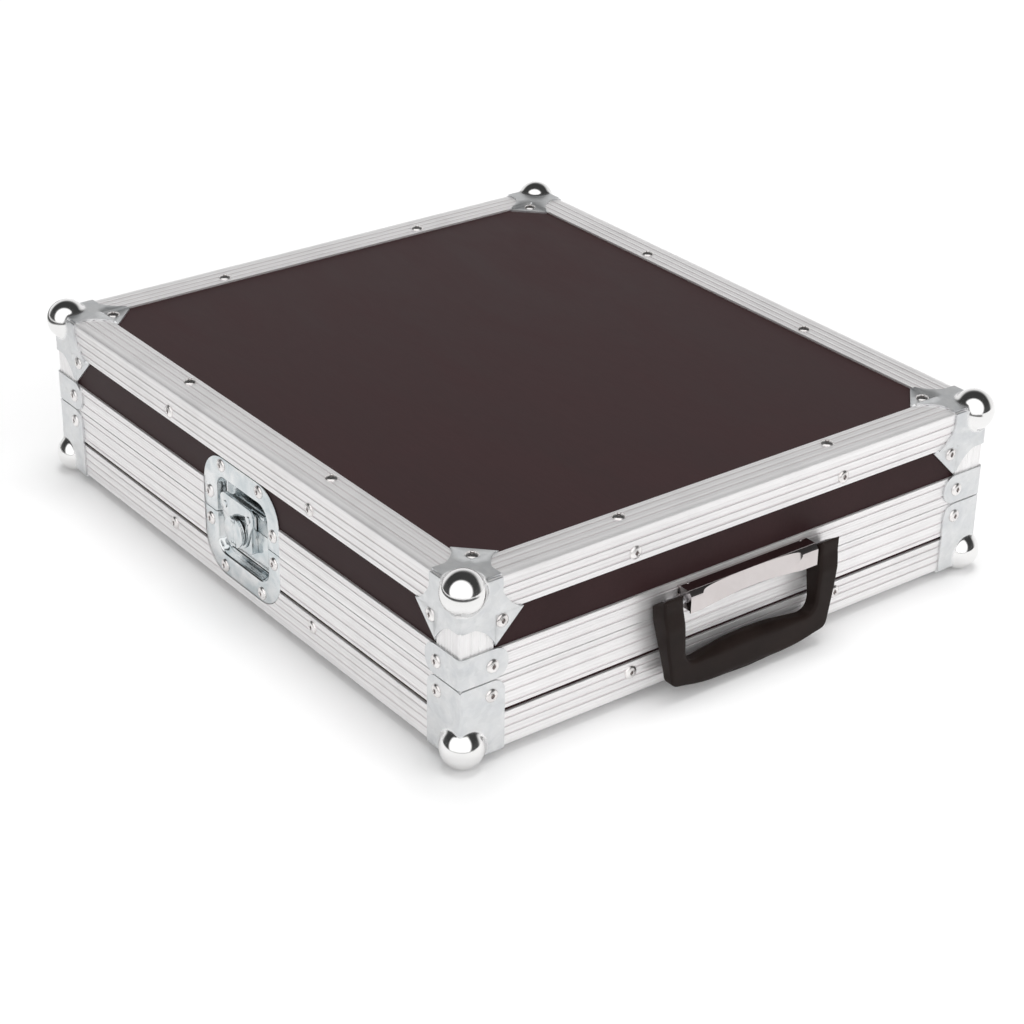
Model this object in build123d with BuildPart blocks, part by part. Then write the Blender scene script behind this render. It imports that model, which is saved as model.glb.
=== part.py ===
from build123d import *
import os
from math import cos, radians, sin

# Case for a controller: brown plywood in ribbed aluminium, zinc ball corners, a lift-off
# lid with two recessed twist latches, and a hinged carrying handle.
# Millimetres, +Z up, floor at z = 0. The handle is on the front, which faces -Y.

os.makedirs("parts", exist_ok=True)

# Outside of the aluminium
width = 394.0
depth = 448.0
shell_height = 108.0
seam_height = 46.0

# Sheet, board and angle
skin = 1.5
board = 7.0
edge_leg = 22.0
edge_round = 1.4
groove_first = 7.2
groove_pitch = 5.3
groove_width = 0.9
groove_deep = 0.35
groove_count = 3

# Closure profile
lid_rim_height = 18.0
base_rim_height = 21.6
inner_flange = 14.0
tongue_thick = 2.0
tongue_deep = 3.0
tongue_gap = 0.4
groove_wall = 1.2
seam_relief = 0.4
lid_rim_grooves = (6.5, 14.0)
base_rim_grooves = (4.0, 11.5, 18.6)

# Zinc corners
plate = 1.2
ball_radius = 13.0
ball_inset = 5.5
foot_drop = 6.0
foot_flat = 0.4
corner_leg = 27.0
corner_leg_width = 9.0
corner_tip = 42.0
corner_scallop = 3.0
slit_length = 9.0
slit_width = 1.6
tab_gap = 0.1
brace_leg = 31.0
brace_round = 8.5
brace_over = 1.3
base_corner_leg = 29.0
base_corner_round = 8.0
seam_gap = 0.5

# Rivets
head_radius = 4.1
head_height = 1.6
shank_radius = 2.0
hole_gap = 0.05
shank_short = 0.5
rivet_spread = 78.5
rivet_inset = 15.5
brace_rivet = 20.5
brace_pip = 10.0
pip_radius = 1.1
pip_height = 0.4
tab_rivet = 27.5
base_rivet = 20.0
base_rivet_drop = 9.2
foot_rivet = 17.5

# Latch
latch_toward_front = 2.0
dish_half_width = 42.0
dish_half_height = 39.3
dish_round = 22.0
dish_sheet = 1.2
dish_gap = 0.4
dish_split = 0.4
pan_half_width = 28.5
pan_half_height = 25.5
pan_round = 9.0
pan_draft = 2.0
pan_floor = 7.0
pan_gap = 0.3
dish_rivets_far = (21.0, 34.0)
dish_rivets_upper = (35.5, 11.0)
dish_rivets_lower = (35.5, 7.5)
mechanism_shift = 6.5
spindle_drop = 4.0
claw_travel = 4.5
frame_half_width = 13.5
frame_bottom = 16.0
frame_top = 11.0
frame_sheet = 1.2
frame_face = 2.6
frame_lift = 0.4
claw_face = 1.0
claw_sheet = 1.2
claw_half_width = 18.5
claw_top = 16.0
claw_shoulder = 3.0
claw_round = 5.0
claw_tail = 2.0
claw_waist = 26.0
claw_lip_half = 14.0
claw_lip_back = 3.9
claw_stud = (13.0, 8.7)
claw_stud_radius = 2.4
claw_stud_height = 0.7
keeper_half = 19.0
keeper_low = 11.8
keeper_high = 14.4
keeper_face = 4.4
journal_radius = 3.0
running_gap = 0.05
slot_gap = 0.2
eccentric_radius = 7.0
eccentric_back = 5.4
eccentric_thick = 1.2
hub_radius = 9.4
hub_back = 0.6
hub_thick = 1.0
wing_radius = 10.0
wing_thick = 1.2
wing_axis_out = 1.4
wing_axis_side = 1.1
knuckle_radius = 0.95
pin_radius = 0.55
ear_inner = 7.4
ear_thick = 1.6
ear_half_width = 2.2
ear_top = 2.3
ear_gap = 0.4

# Handle
bracket_length = 100.0
bracket_sheet = 1.2
shelf_height = 16.0
shelf_depth = 8.5
bracket_roll = 4.2
bracket_lip = 9.0
scoop_width = 85.0
scoop_depth = 2.2
cheek_inset = 5.0
cheek_thick = 2.0
bar_radius = 3.0
bar_out = 7.0
bar_below_shelf = 6.0
bar_length = 122.0
grip_front = 15.0
grip_back = 1.5
knuckle_round = 6.0
grip_floor = 2.5
grip_half_top = 68.0
grip_half_low = 59.0
grip_opening_top = 52.6
grip_opening_low = 48.5
grip_bar_height = 20.0
grip_bar_crown = 2.5
grip_toe = 6.0
bore_end_gap = 0.3
handle_rivet = 32.0
grip_corner = 11.0
grip_inner_corner = 6.0
grip_low_level = 18.0
grip_belly = 2.0
grip_edge = 2.5

# Foam
foam_gap = 0.4
foam_wall = 22.0
foam_floor = 10.0
foam_below_seam = 2.0
foam_well_round = 12.0
lid_foam_thick = 15.0

# Levels and faces that follow
ball_out = ball_radius - ball_inset
mid_y = (grip_front - ball_out) / 2
bottom = foot_drop
seam = bottom + seam_height
top = bottom + shell_height
rim_thick = 2 * skin + board
rivet_hole = shank_radius + hole_gap
tab_seat = plate - skin
dish_seat = dish_sheet - skin
brace_level = seam + lid_rim_height / 2 + seam_relief / 2
groove_block = tongue_deep + tongue_gap + groove_wall
base_wall_top = seam - groove_block
lid_wall_low = seam + skin
board_low = bottom + skin + board
board_high = top - skin - board
shelf_level = seam + shelf_height
bar_level = shelf_level - bar_below_shelf
bracket_reach = shelf_depth + bracket_roll
bracket_low = shelf_level - bracket_roll - bracket_lip

front = Plane(origin=(0, mid_y - depth / 2, 0), x_dir=(1, 0, 0), z_dir=(0, -1, 0))
back = Plane(origin=(0, mid_y + depth / 2, 0), x_dir=(-1, 0, 0), z_dir=(0, 1, 0))
left = Plane(origin=(-width / 2, mid_y, 0), x_dir=(0, -1, 0), z_dir=(-1, 0, 0))
right = Plane(origin=(width / 2, mid_y, 0), x_dir=(0, 1, 0), z_dir=(1, 0, 0))
lid_face = Plane(origin=(0, mid_y, top), x_dir=(1, 0, 0), z_dir=(0, 0, 1))
under_face = Plane(origin=(0, mid_y, bottom), x_dir=(1, 0, 0), z_dir=(0, 0, -1))

sides = {"front": (front, width), "back": (back, width), "left": (left, depth), "right": (right, depth)}
latch_middle = {"left": (left, latch_toward_front), "right": (right, -latch_toward_front)}
corners = {
    "front_left": (-1, -1),
    "front_right": (1, -1),
    "back_left": (-1, 1),
    "back_right": (1, 1),
}


def save(part, name):
    """Label a finished piece and write it under its own name."""
    part.label = name
    export_step(part, f"parts/{name}.step")


def spot(face, u, v, out=0.0):
    """A place on a face: u along it, v up it, out along its outward normal."""
    return face.location * Location((u, v, out))


def section_plane(face, length):
    """The plane across one side at its end, with x outward and y up."""
    origin = face.origin + face.x_dir * (length / 2)
    return Plane(origin=origin, x_dir=face.z_dir, z_dir=-face.x_dir)


def mitre_planes(face, length):
    """The 45 degree planes at both ends of one side, each facing the waste."""
    planes = []
    for end in (-1, 1):
        origin = face.origin + face.x_dir * (end * length / 2)
        planes.append(Plane(origin=origin, z_dir=face.x_dir * end - face.z_dir))
    return planes


def corner_point(name, level):
    """The sharp outer corner of the aluminium at one upright edge."""
    sx, sy = corners[name]
    return Vector(sx * width / 2, mid_y + sy * depth / 2, level)


def corner_faces(name, level, up):
    """Planes on the three faces that meet at a corner, with x and y pointing away from it."""
    sx, sy = corners[name]
    outward = [Vector(sx, 0, 0), Vector(0, sy, 0), Vector(0, 0, up)]
    planes = []
    for n, normal in enumerate(outward):
        along, across = [v * -1 for k, v in enumerate(outward) if k != n]
        if normal.cross(along).dot(across) < 0:
            along, across = across, along
        planes.append(Plane(origin=corner_point(name, level), x_dir=along, z_dir=normal))
    return planes


def corner_sides(name):
    """The two side faces at a corner: the face, the corner's u on it and the way inward."""
    found = []
    for face, length in sides.values():
        for end in (-1, 1):
            edge = face.origin + face.x_dir * (end * length / 2)
            point = corner_point(name, 0)
            if (edge - point).length < skin:
                found.append((face, end * length / 2, -end))
    return found


def dish_rivet_places(middle, lid):
    """The four rivets of one half dish."""
    near = dish_rivets_upper if lid else dish_rivets_lower
    turn = 1 if lid else -1
    return [(middle + s * u, seam + turn * v) for u, v in (dish_rivets_far, near) for s in (-1, 1)]


def edge_places(lid):
    """The two rivets of an edge angle on one side."""
    level = top - rivet_inset if lid else bottom + rivet_inset
    return [(s * rivet_spread, level) for s in (-1, 1)]


def tab_places(length):
    """The two rivets through the lid corners' tabs on one side."""
    return [(s * (length / 2 - tab_rivet), top - tab_rivet) for s in (-1, 1)]


def tie_places(length, lid):
    """The rivets that tie the rim at both corners of one side."""
    inset = brace_rivet if lid else base_rivet
    level = brace_level if lid else seam - base_rivet_drop
    return [(s * (length / 2 - inset), level) for s in (-1, 1)]


def handle_places(name, lid):
    """The rivets behind the handle's bar, on the front of the lid."""
    if lid and name == "front":
        return [(s * handle_rivet, bar_level) for s in (-1, 1)]
    return []


def wall_places(name, lid):
    """Every place, as u and level, where one wall is drilled."""
    length = sides[name][1]
    places = edge_places(lid) + tie_places(length, lid) + handle_places(name, lid)
    if lid:
        places += tab_places(length)
    if name in latch_middle:
        places += dish_rivet_places(latch_middle[name][1], lid)
    return places


def flat_places():
    """The eight rivets of the edge angles on the top or the bottom."""
    x_line = width / 2 - rivet_inset
    y_line = depth / 2 - rivet_inset
    places = [(sx * rivet_spread, sy * y_line) for sx in (-1, 1) for sy in (-1, 1)]
    return places + [(sx * x_line, sy * rivet_spread) for sx in (-1, 1) for sy in (-1, 1)]


def flat_corner_places(lid):
    """The four corner rivets on the top or the bottom."""
    inset = tab_rivet if lid else foot_rivet
    return [(sx * (width / 2 - inset), sy * (depth / 2 - inset)) for sx in (-1, 1) for sy in (-1, 1)]


def pan_outline(grow):
    """The mouth of the latch pan, grown by a margin all round."""
    RectangleRounded(2 * (pan_half_width + grow), 2 * (pan_half_height + grow), pan_round + grow)


def dish_outline(grow):
    """The outline of the latch dish's flange, grown by a margin all round."""
    RectangleRounded(2 * (dish_half_width + grow), 2 * (dish_half_height + grow), dish_round + grow)


def make_board(face, name):
    """The bottom or the top board, which covers the walls' ends."""
    places = flat_places() + flat_corner_places(name == "lid_panel")
    with BuildPart() as panel:
        with BuildSketch(face.offset(-skin)):
            Rectangle(width - 2 * skin, depth - 2 * skin)
        extrude(amount=-board)
        with Locations(*[spot(face, u, v) for u, v in places]):
            Cylinder(rivet_hole, 4 * board, mode=Mode.SUBTRACT)
    save(panel.part, name)


def make_wall(name, lid):
    """One upright wall, drilled for its rivets and cut out for the latch pan."""
    face, length = sides[name]
    short = skin if name in ("front", "back") else skin + board
    low = lid_wall_low if lid else board_low
    high = board_high if lid else base_wall_top
    with BuildPart() as wall:
        with BuildSketch(face.offset(-skin)):
            with Locations((0, (low + high) / 2)):
                Rectangle(length - 2 * short, high - low)
        extrude(amount=-board)
        with Locations(*[spot(face, u, v) for u, v in wall_places(name, lid)]):
            Cylinder(rivet_hole, 4 * board, mode=Mode.SUBTRACT)
        if name in latch_middle:
            with BuildSketch(face.offset(-skin)):
                with Locations((latch_middle[name][1], seam)):
                    pan_outline(dish_sheet + pan_gap)
            extrude(amount=-board, mode=Mode.SUBTRACT)
    save(wall.part, f"lid_wall_{name}" if lid else f"base_wall_{name}")


def make_edge(name, lid):
    """One ribbed edge angle, mitred at both ends."""
    face, length = sides[name]
    level = top if lid else bottom
    up = 1 if lid else -1
    bend = edge_round * (1 - 0.5**0.5)
    steps = [groove_first + n * groove_pitch for n in range(groove_count)]

    def at(inward, along):
        return (-inward, level - up * along)

    with BuildPart() as edge:
        with BuildSketch(section_plane(face, length)):
            with BuildLine():
                Polyline(at(0, edge_round), at(0, edge_leg), at(skin, edge_leg), at(skin, skin))
                Polyline(at(skin, skin), at(edge_leg, skin), at(edge_leg, 0), at(edge_round, 0))
                ThreePointArc(at(edge_round, 0), at(bend, bend), at(0, edge_round))
            make_face()
            with Locations(*[at(0, s) for s in steps]):
                Rectangle(2 * groove_deep, groove_width, mode=Mode.SUBTRACT)
            with Locations(*[at(s, 0) for s in steps]):
                Rectangle(groove_width, 2 * groove_deep, mode=Mode.SUBTRACT)
        extrude(amount=length)
        for plane in mitre_planes(face, length):
            split(bisect_by=plane, keep=Keep.BOTTOM)
        flat = Plane(origin=(0, mid_y, level))
        holes = [spot(face, u, v) for u, v in edge_places(lid)]
        holes += [spot(flat, u, v) for u, v in flat_places() + flat_corner_places(lid)]
        with Locations(*holes):
            Cylinder(rivet_hole, edge_leg, mode=Mode.SUBTRACT)
        if name in latch_middle:
            with BuildSketch(face):
                with Locations((latch_middle[name][1], seam)):
                    dish_outline(dish_gap)
            extrude(amount=-skin, mode=Mode.SUBTRACT)
    save(edge.part, f"lid_edge_{name}" if lid else f"base_edge_{name}")


def rim_section(lid):
    """The closure profile's section, with x outward and y up."""
    up = 1 if lid else -1
    height = lid_rim_height if lid else base_rim_height
    middle = -rim_thick / 2

    def bar(low, high, first, last):
        with Locations(((low + high) / 2, seam + up * (first + last) / 2)):
            Rectangle(high - low, abs(last - first))

    bar(-skin, 0, 0, height)
    bar(-rim_thick, 0, 0, skin)
    bar(-rim_thick, -skin - board, 0, inner_flange)
    if lid:
        bar(middle - tongue_thick / 2, middle + tongue_thick / 2, -tongue_deep, skin)
    else:
        side = tongue_thick / 2 + tongue_gap
        bar(middle - side - groove_wall, middle + side + groove_wall, 0, groove_block)
        with Locations((middle, seam)):
            Rectangle(2 * side, 2 * (tongue_deep + tongue_gap), mode=Mode.SUBTRACT)
    with Locations((0, seam)):
        Rectangle(2 * seam_relief, 2 * seam_relief, mode=Mode.SUBTRACT)
    for g in lid_rim_grooves if lid else base_rim_grooves:
        with Locations((0, seam + up * g)):
            Rectangle(2 * groove_deep, groove_width, mode=Mode.SUBTRACT)


def make_rim(name, lid):
    """One length of closure profile: tongue on the lid, groove on the base."""
    face, length = sides[name]
    with BuildPart() as rim:
        with BuildSketch(section_plane(face, length)):
            rim_section(lid)
        extrude(amount=length)
        for plane in mitre_planes(face, length):
            split(bisect_by=plane, keep=Keep.BOTTOM)
        places = tie_places(length, lid) + handle_places(name, lid)
        with Locations(*[spot(face, u, v) for u, v in places]):
            Cylinder(rivet_hole, 2 * skin, mode=Mode.SUBTRACT)
        if name in latch_middle:
            middle = latch_middle[name][1]
            with BuildSketch(face):
                with Locations((middle, seam)):
                    dish_outline(dish_gap)
            extrude(amount=-skin, mode=Mode.SUBTRACT)
            with BuildSketch(face):
                with Locations((middle, seam)):
                    pan_outline(dish_sheet + pan_gap)
            extrude(amount=-skin - board, mode=Mode.SUBTRACT)
    save(rim.part, f"lid_rim_{name}" if lid else f"base_rim_{name}")


def make_posts():
    """The short upright ribbed angles at the lid's corners."""
    low = seam + lid_rim_height
    steps = [groove_first + n * groove_pitch for n in range(groove_count)]
    with BuildPart() as posts:
        for name, (sx, sy) in corners.items():
            with BuildSketch(Plane(origin=corner_point(name, low))):
                with Locations((-sx * edge_leg / 2, -sy * skin / 2)):
                    Rectangle(edge_leg, skin)
                with Locations((-sx * skin / 2, -sy * edge_leg / 2)):
                    Rectangle(skin, edge_leg)
                with Locations(*[(-sx * s, 0) for s in steps]):
                    Rectangle(groove_width, 2 * groove_deep, mode=Mode.SUBTRACT)
                with Locations(*[(0, -sy * s) for s in steps]):
                    Rectangle(2 * groove_deep, groove_width, mode=Mode.SUBTRACT)
            extrude(amount=top - edge_leg - low)
    save(posts.part, "lid_posts")


def corner_outline():
    """One face of a lid corner: two legs, two scallops and a cut corner."""
    cut = edge_leg + tab_gap + plate
    along = (corner_leg + corner_tip - corner_scallop) / 2
    across = (corner_leg_width + cut + corner_scallop) / 2
    with BuildSketch() as outline:
        with BuildLine():
            Polyline((corner_leg_width, corner_leg), (-plate, corner_leg), (-plate, -plate))
            Polyline((-plate, -plate), (corner_leg, -plate), (corner_leg, corner_leg_width))
            ThreePointArc((corner_leg, corner_leg_width), (along, across), (corner_tip, cut))
            Line((corner_tip, cut), (cut, corner_tip))
            ThreePointArc((cut, corner_tip), (across, along), (corner_leg_width, corner_leg))
        make_face()
    return outline.sketch


def quarter(start, mode):
    """The part of a corner's face beyond a distance from both edges."""
    with Locations((start, start)):
        Rectangle(2 * corner_tip, 2 * corner_tip, align=(Align.MIN, Align.MIN), mode=mode)


def make_lid_corner(name):
    """A pressed ball corner: three faces over the angles, each with a tab cranked down to the board."""
    sx, sy = corners[name]
    point = corner_point(name, top)
    inward = Vector(-sx, -sy, -1)
    step = edge_leg + tab_gap
    block = 4 * ball_radius
    outline = corner_outline()
    with BuildPart() as corner:
        with Locations(Location(point + inward * ball_inset)):
            Sphere(ball_radius)
        with Locations(Location(point + inward * (block / 2))):
            Box(block, block, block, mode=Mode.SUBTRACT)
        for face in corner_faces(name, top, 1):
            with BuildSketch(face):
                add(outline)
                quarter(step + plate, Mode.SUBTRACT)
            extrude(amount=plate)
            with BuildSketch(face.offset(-skin)):
                add(outline)
                quarter(step, Mode.INTERSECT)
                quarter(step + plate, Mode.SUBTRACT)
            extrude(amount=skin + plate)
            with BuildSketch(face.offset(-skin)):
                add(outline)
                quarter(step, Mode.INTERSECT)
            extrude(amount=plate)
            with Locations(spot(face, corner_leg, 0)):
                Box(2 * slit_length, 2 * slit_width, 4 * plate, mode=Mode.SUBTRACT)
            with Locations(spot(face, 0, corner_leg)):
                Box(2 * slit_width, 2 * slit_length, 4 * plate, mode=Mode.SUBTRACT)
            with Locations(spot(face, tab_rivet, tab_rivet)):
                Cylinder(rivet_hole, 4 * plate, mode=Mode.SUBTRACT)
    save(corner.part, f"lid_corner_{name}")


def bracket_outline(edge_u, toward, leg, low, high, radius, middle):
    """One leg of a corner bracket on a side face, rounded at its free end."""
    side = (Align.MIN if toward > 0 else Align.MAX, Align.CENTER)
    with BuildSketch() as outline:
        with Locations((edge_u, middle)):
            RectangleRounded(2 * leg, 2 * (high - middle), radius)
        with Locations((edge_u - toward * plate, (low + high) / 2)):
            Rectangle(2 * leg, high - low, align=side, mode=Mode.INTERSECT)
    return outline.sketch


def make_brace(name):
    """The angle brace that ties the lid's rim at one corner."""
    low = seam + seam_gap
    high = seam + lid_rim_height + brace_over
    middle = (low + high) / 2
    with BuildPart() as brace:
        for face, edge_u, toward in corner_sides(name):
            with BuildSketch(face):
                add(bracket_outline(edge_u, toward, brace_leg, low, high, brace_round, middle))
            extrude(amount=plate)
            with Locations(spot(face, edge_u + toward * brace_rivet, brace_level)):
                Cylinder(rivet_hole, 4 * plate, mode=Mode.SUBTRACT)
            with Locations(spot(face, edge_u + toward * brace_pip, brace_level, plate)):
                Cylinder(pip_radius, 2 * pip_height)
    save(brace.part, f"lid_brace_{name}")


def make_base_corner(name):
    """The tall base corner with the ball that the case stands on."""
    sx, sy = corners[name]
    point = corner_point(name, bottom)
    high = seam - seam_gap
    leg = base_corner_leg
    block = 4 * ball_radius
    centre = Vector(point.X - sx * ball_inset, point.Y - sy * ball_inset, ball_radius - foot_flat)
    under = corner_faces(name, bottom, -1)[2]
    with BuildPart() as corner:
        with Locations(Location(centre)):
            Sphere(ball_radius)
        with Locations(Location((centre.X, centre.Y, 0))):
            Box(block, block, block, align=(Align.CENTER, Align.CENTER, Align.MAX), mode=Mode.SUBTRACT)
        with Locations(Location(point + Vector(-sx, -sy, 1) * (block / 2))):
            Box(block, block, block, mode=Mode.SUBTRACT)
        for face, edge_u, toward in corner_sides(name):
            with BuildSketch(face):
                add(bracket_outline(edge_u, toward, leg, bottom - plate, high, base_corner_round, bottom))
            extrude(amount=plate)
            with Locations(spot(face, edge_u + toward * base_rivet, seam - base_rivet_drop)):
                Cylinder(rivet_hole, 4 * plate, mode=Mode.SUBTRACT)
        with BuildSketch(under):
            with BuildLine():
                Polyline((leg, -plate), (-plate, -plate), (-plate, leg), (leg / 2, leg))
                Polyline((leg / 2, leg), (leg, leg / 2), (leg, -plate))
            make_face()
        extrude(amount=plate)
        with Locations(spot(under, foot_rivet, foot_rivet)):
            Cylinder(rivet_hole, 4 * plate, mode=Mode.SUBTRACT)
    save(corner.part, f"base_corner_{name}")


def make_rivet(grip_length):
    """One pop rivet seated at the origin, its head up and its shank down."""
    cap = (head_radius**2 + head_height**2) / (2 * head_height)
    waist = head_radius * 0.7
    shoulder = head_height - cap + (cap**2 - waist**2) ** 0.5
    with BuildPart() as rivet:
        with BuildSketch(Plane.XZ):
            with BuildLine():
                ThreePointArc((head_radius, 0), (waist, shoulder), (0, head_height))
                Polyline((0, head_height), (0, -grip_length), (shank_radius, -grip_length))
                Polyline((shank_radius, -grip_length), (shank_radius, 0), (head_radius, 0))
            make_face()
        revolve(axis=Axis.Z)
    return rivet.part


def make_rivets(lid):
    """All the rivets of the lid or the base, each with its head on what it clamps."""
    turn_face = lid_face if lid else under_face
    groups = [(0.0, [spot(turn_face, u, v) for u, v in flat_places()])]
    seat = tab_seat if lid else plate
    groups.append((seat, [spot(turn_face, u, v, seat) for u, v in flat_corner_places(lid)]))
    for name, (face, length) in sides.items():
        groups.append((0.0, [spot(face, u, v) for u, v in edge_places(lid)]))
        groups.append((plate, [spot(face, u, v, plate) for u, v in tie_places(length, lid)]))
        if lid:
            groups.append((tab_seat, [spot(face, u, v, tab_seat) for u, v in tab_places(length)]))
        held = handle_places(name, lid)
        if held:
            groups.append((bracket_sheet, [spot(face, u, v, bracket_sheet) for u, v in held]))
        if name in latch_middle:
            places = dish_rivet_places(latch_middle[name][1], lid)
            groups.append((dish_seat, [spot(face, u, v, dish_seat) for u, v in places]))
    with BuildPart() as rivets:
        for seat, spots in groups:
            one = make_rivet(seat + skin + board - shank_short)
            with Locations(*spots):
                add(one)
    save(rivets.part, "lid_rivets" if lid else "base_rivets")


def make_foams():
    """The base's liner with its well, and the pad under the lid."""
    long_x = width - 2 * (rim_thick + foam_gap)
    long_y = depth - 2 * (rim_thick + foam_gap)
    floor = Plane(origin=(0, mid_y, board_low + foam_gap))
    high = seam - foam_below_seam
    with BuildPart() as base_foam:
        with BuildSketch(floor):
            Rectangle(long_x, long_y)
        extrude(amount=high - board_low - foam_gap)
        with BuildSketch(floor.offset(foam_floor)):
            RectangleRounded(long_x - 2 * foam_wall, long_y - 2 * foam_wall, foam_well_round)
        extrude(amount=high, mode=Mode.SUBTRACT)
    save(base_foam.part, "base_foam")
    with BuildPart() as lid_foam:
        with BuildSketch(Plane(origin=(0, mid_y, board_high - foam_gap))):
            Rectangle(long_x, long_y)
        extrude(amount=-lid_foam_thick)
    save(lid_foam.part, "lid_foam")


def make_dish(side, lid):
    """Half of the pressed latch dish; the upper half has the keeper that the claw catches."""
    face, middle = latch_middle[side]
    deep = pan_floor + dish_sheet
    here = Plane(origin=spot(face, middle, seam).position, x_dir=face.x_dir, z_dir=face.z_dir)
    cut = seam + dish_split / 2 if lid else seam - dish_split / 2
    keep = Keep.TOP if lid else Keep.BOTTOM
    with BuildPart() as dish:
        with BuildSketch(here.offset(dish_seat)):
            dish_outline(0)
        extrude(amount=-dish_sheet)
        with BuildSketch(here.offset(dish_seat)):
            pan_outline(dish_sheet)
        with BuildSketch(here.offset(-deep)):
            pan_outline(dish_sheet - pan_draft)
        loft()
        with BuildSketch(here.offset(dish_seat)):
            pan_outline(0)
        with BuildSketch(here.offset(-pan_floor)):
            pan_outline(-pan_draft)
        loft(mode=Mode.SUBTRACT)
        split(bisect_by=Plane(origin=(0, 0, cut)), keep=keep)
        if lid:
            with BuildSketch(here.offset(-pan_floor - dish_sheet / 2)):
                with Locations((0, (keeper_low + keeper_high) / 2)):
                    Rectangle(2 * keeper_half, keeper_high - keeper_low)
            extrude(amount=pan_floor + dish_sheet / 2 - keeper_face)
        with Locations(*[spot(face, u, v) for u, v in dish_rivet_places(middle, lid)]):
            Cylinder(rivet_hole, 4 * skin, mode=Mode.SUBTRACT)
    save(dish.part, f"latch_dish_upper_{side}" if lid else f"latch_dish_lower_{side}")


def mechanism_plane(side, drop=0.0):
    """The latch mechanism's own plane, on its middle line and a drop below the seam."""
    face, middle = latch_middle[side]
    here = spot(face, middle - mechanism_shift, seam - drop).position
    return Plane(origin=here, x_dir=face.x_dir, z_dir=face.z_dir)


def make_frame(side):
    """The mechanism's box: open behind, with the spindle's bearing in its face."""
    plane = mechanism_plane(side)
    t = frame_sheet
    tall = frame_top + frame_bottom
    middle = (0, (frame_top - frame_bottom) / 2)
    with BuildPart() as frame:
        with BuildSketch(plane.offset(-frame_face)):
            with Locations(middle):
                RectangleRounded(2 * frame_half_width, tall, 2 * t)
        extrude(amount=frame_face - pan_floor)
        with BuildSketch(plane.offset(-frame_face - t)):
            with Locations(middle):
                RectangleRounded(2 * (frame_half_width - t), tall - 2 * t, t)
        extrude(amount=frame_face + t - pan_floor, mode=Mode.SUBTRACT)
        with BuildSketch(plane.offset(-pan_floor)):
            with Locations((0, -dish_split)):
                Rectangle(4 * frame_half_width, 2 * tall, align=(Align.CENTER, Align.MIN))
        extrude(amount=frame_lift, mode=Mode.SUBTRACT)
        with Locations(spot(plane, 0, -spindle_drop, -frame_face)):
            Cylinder(journal_radius + running_gap, 4 * t, mode=Mode.SUBTRACT)
    save(frame.part, f"latch_frame_{side}")


def make_claw(side):
    """The sliding plate: wide shoulders, a tail round the hub and a lip bent back at the top."""
    plane = mechanism_plane(side)
    tail = hub_radius + claw_tail
    waist = (tail * cos(radians(claw_waist)), -spindle_drop - tail * sin(radians(claw_waist)))
    shoulder = claw_shoulder + claw_round
    with BuildPart() as claw:
        with BuildSketch(plane.offset(-claw_face)):
            with Locations((0, (claw_top + claw_shoulder) / 2)):
                RectangleRounded(2 * claw_half_width, claw_top - claw_shoulder, claw_round)
            with BuildLine():
                Polyline((-claw_half_width, shoulder), (claw_half_width, shoulder), waist)
                Polyline(waist, (-waist[0], waist[1]), (-claw_half_width, shoulder))
            make_face()
            with Locations((0, -spindle_drop)):
                Circle(tail)
            with Locations((0, -spindle_drop - claw_travel / 2)):
                slot_width = 2 * (journal_radius + slot_gap)
                SlotCenterToCenter(claw_travel, slot_width, rotation=90, mode=Mode.SUBTRACT)
        extrude(amount=-claw_sheet)
        with BuildSketch(plane.offset(-claw_face)):
            with Locations((0, claw_top - claw_sheet / 2)):
                Rectangle(2 * claw_lip_half, claw_sheet)
        extrude(amount=claw_face - claw_lip_back)
        with BuildSketch(plane.offset(-claw_face)):
            with Locations((claw_stud[0], claw_stud[1]), (-claw_stud[0], claw_stud[1])):
                Circle(claw_stud_radius)
        extrude(amount=claw_stud_height)
    save(claw.part, f"latch_claw_{side}")


def make_spindle(side):
    """The turning spindle: eccentric inside, hub outside, ears and pins for the wings."""
    here = mechanism_plane(side, spindle_drop)
    hub_top = hub_thick - hub_back
    with BuildPart() as spindle:
        with BuildSketch(here.offset(-eccentric_back)):
            Circle(eccentric_radius)
        extrude(amount=eccentric_thick)
        with BuildSketch(here.offset(-eccentric_back)):
            Circle(journal_radius)
        extrude(amount=eccentric_back - hub_back)
        with BuildSketch(here.offset(-hub_back)):
            Circle(hub_radius)
        extrude(amount=hub_thick)
        ear_middle = ear_inner + ear_thick / 2
        with BuildSketch(here.offset(hub_top)):
            with Locations((0, ear_middle), (0, -ear_middle)):
                Rectangle(2 * ear_half_width, ear_thick)
        extrude(amount=ear_top - hub_top)
        for turn in (-1, 1):
            with Locations(spot(here, turn * wing_axis_side, 0, wing_axis_out)):
                Cylinder(pin_radius, 2 * ear_middle, rotation=(90, 0, 0))
    save(spindle.part, f"latch_spindle_{side}")


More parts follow.
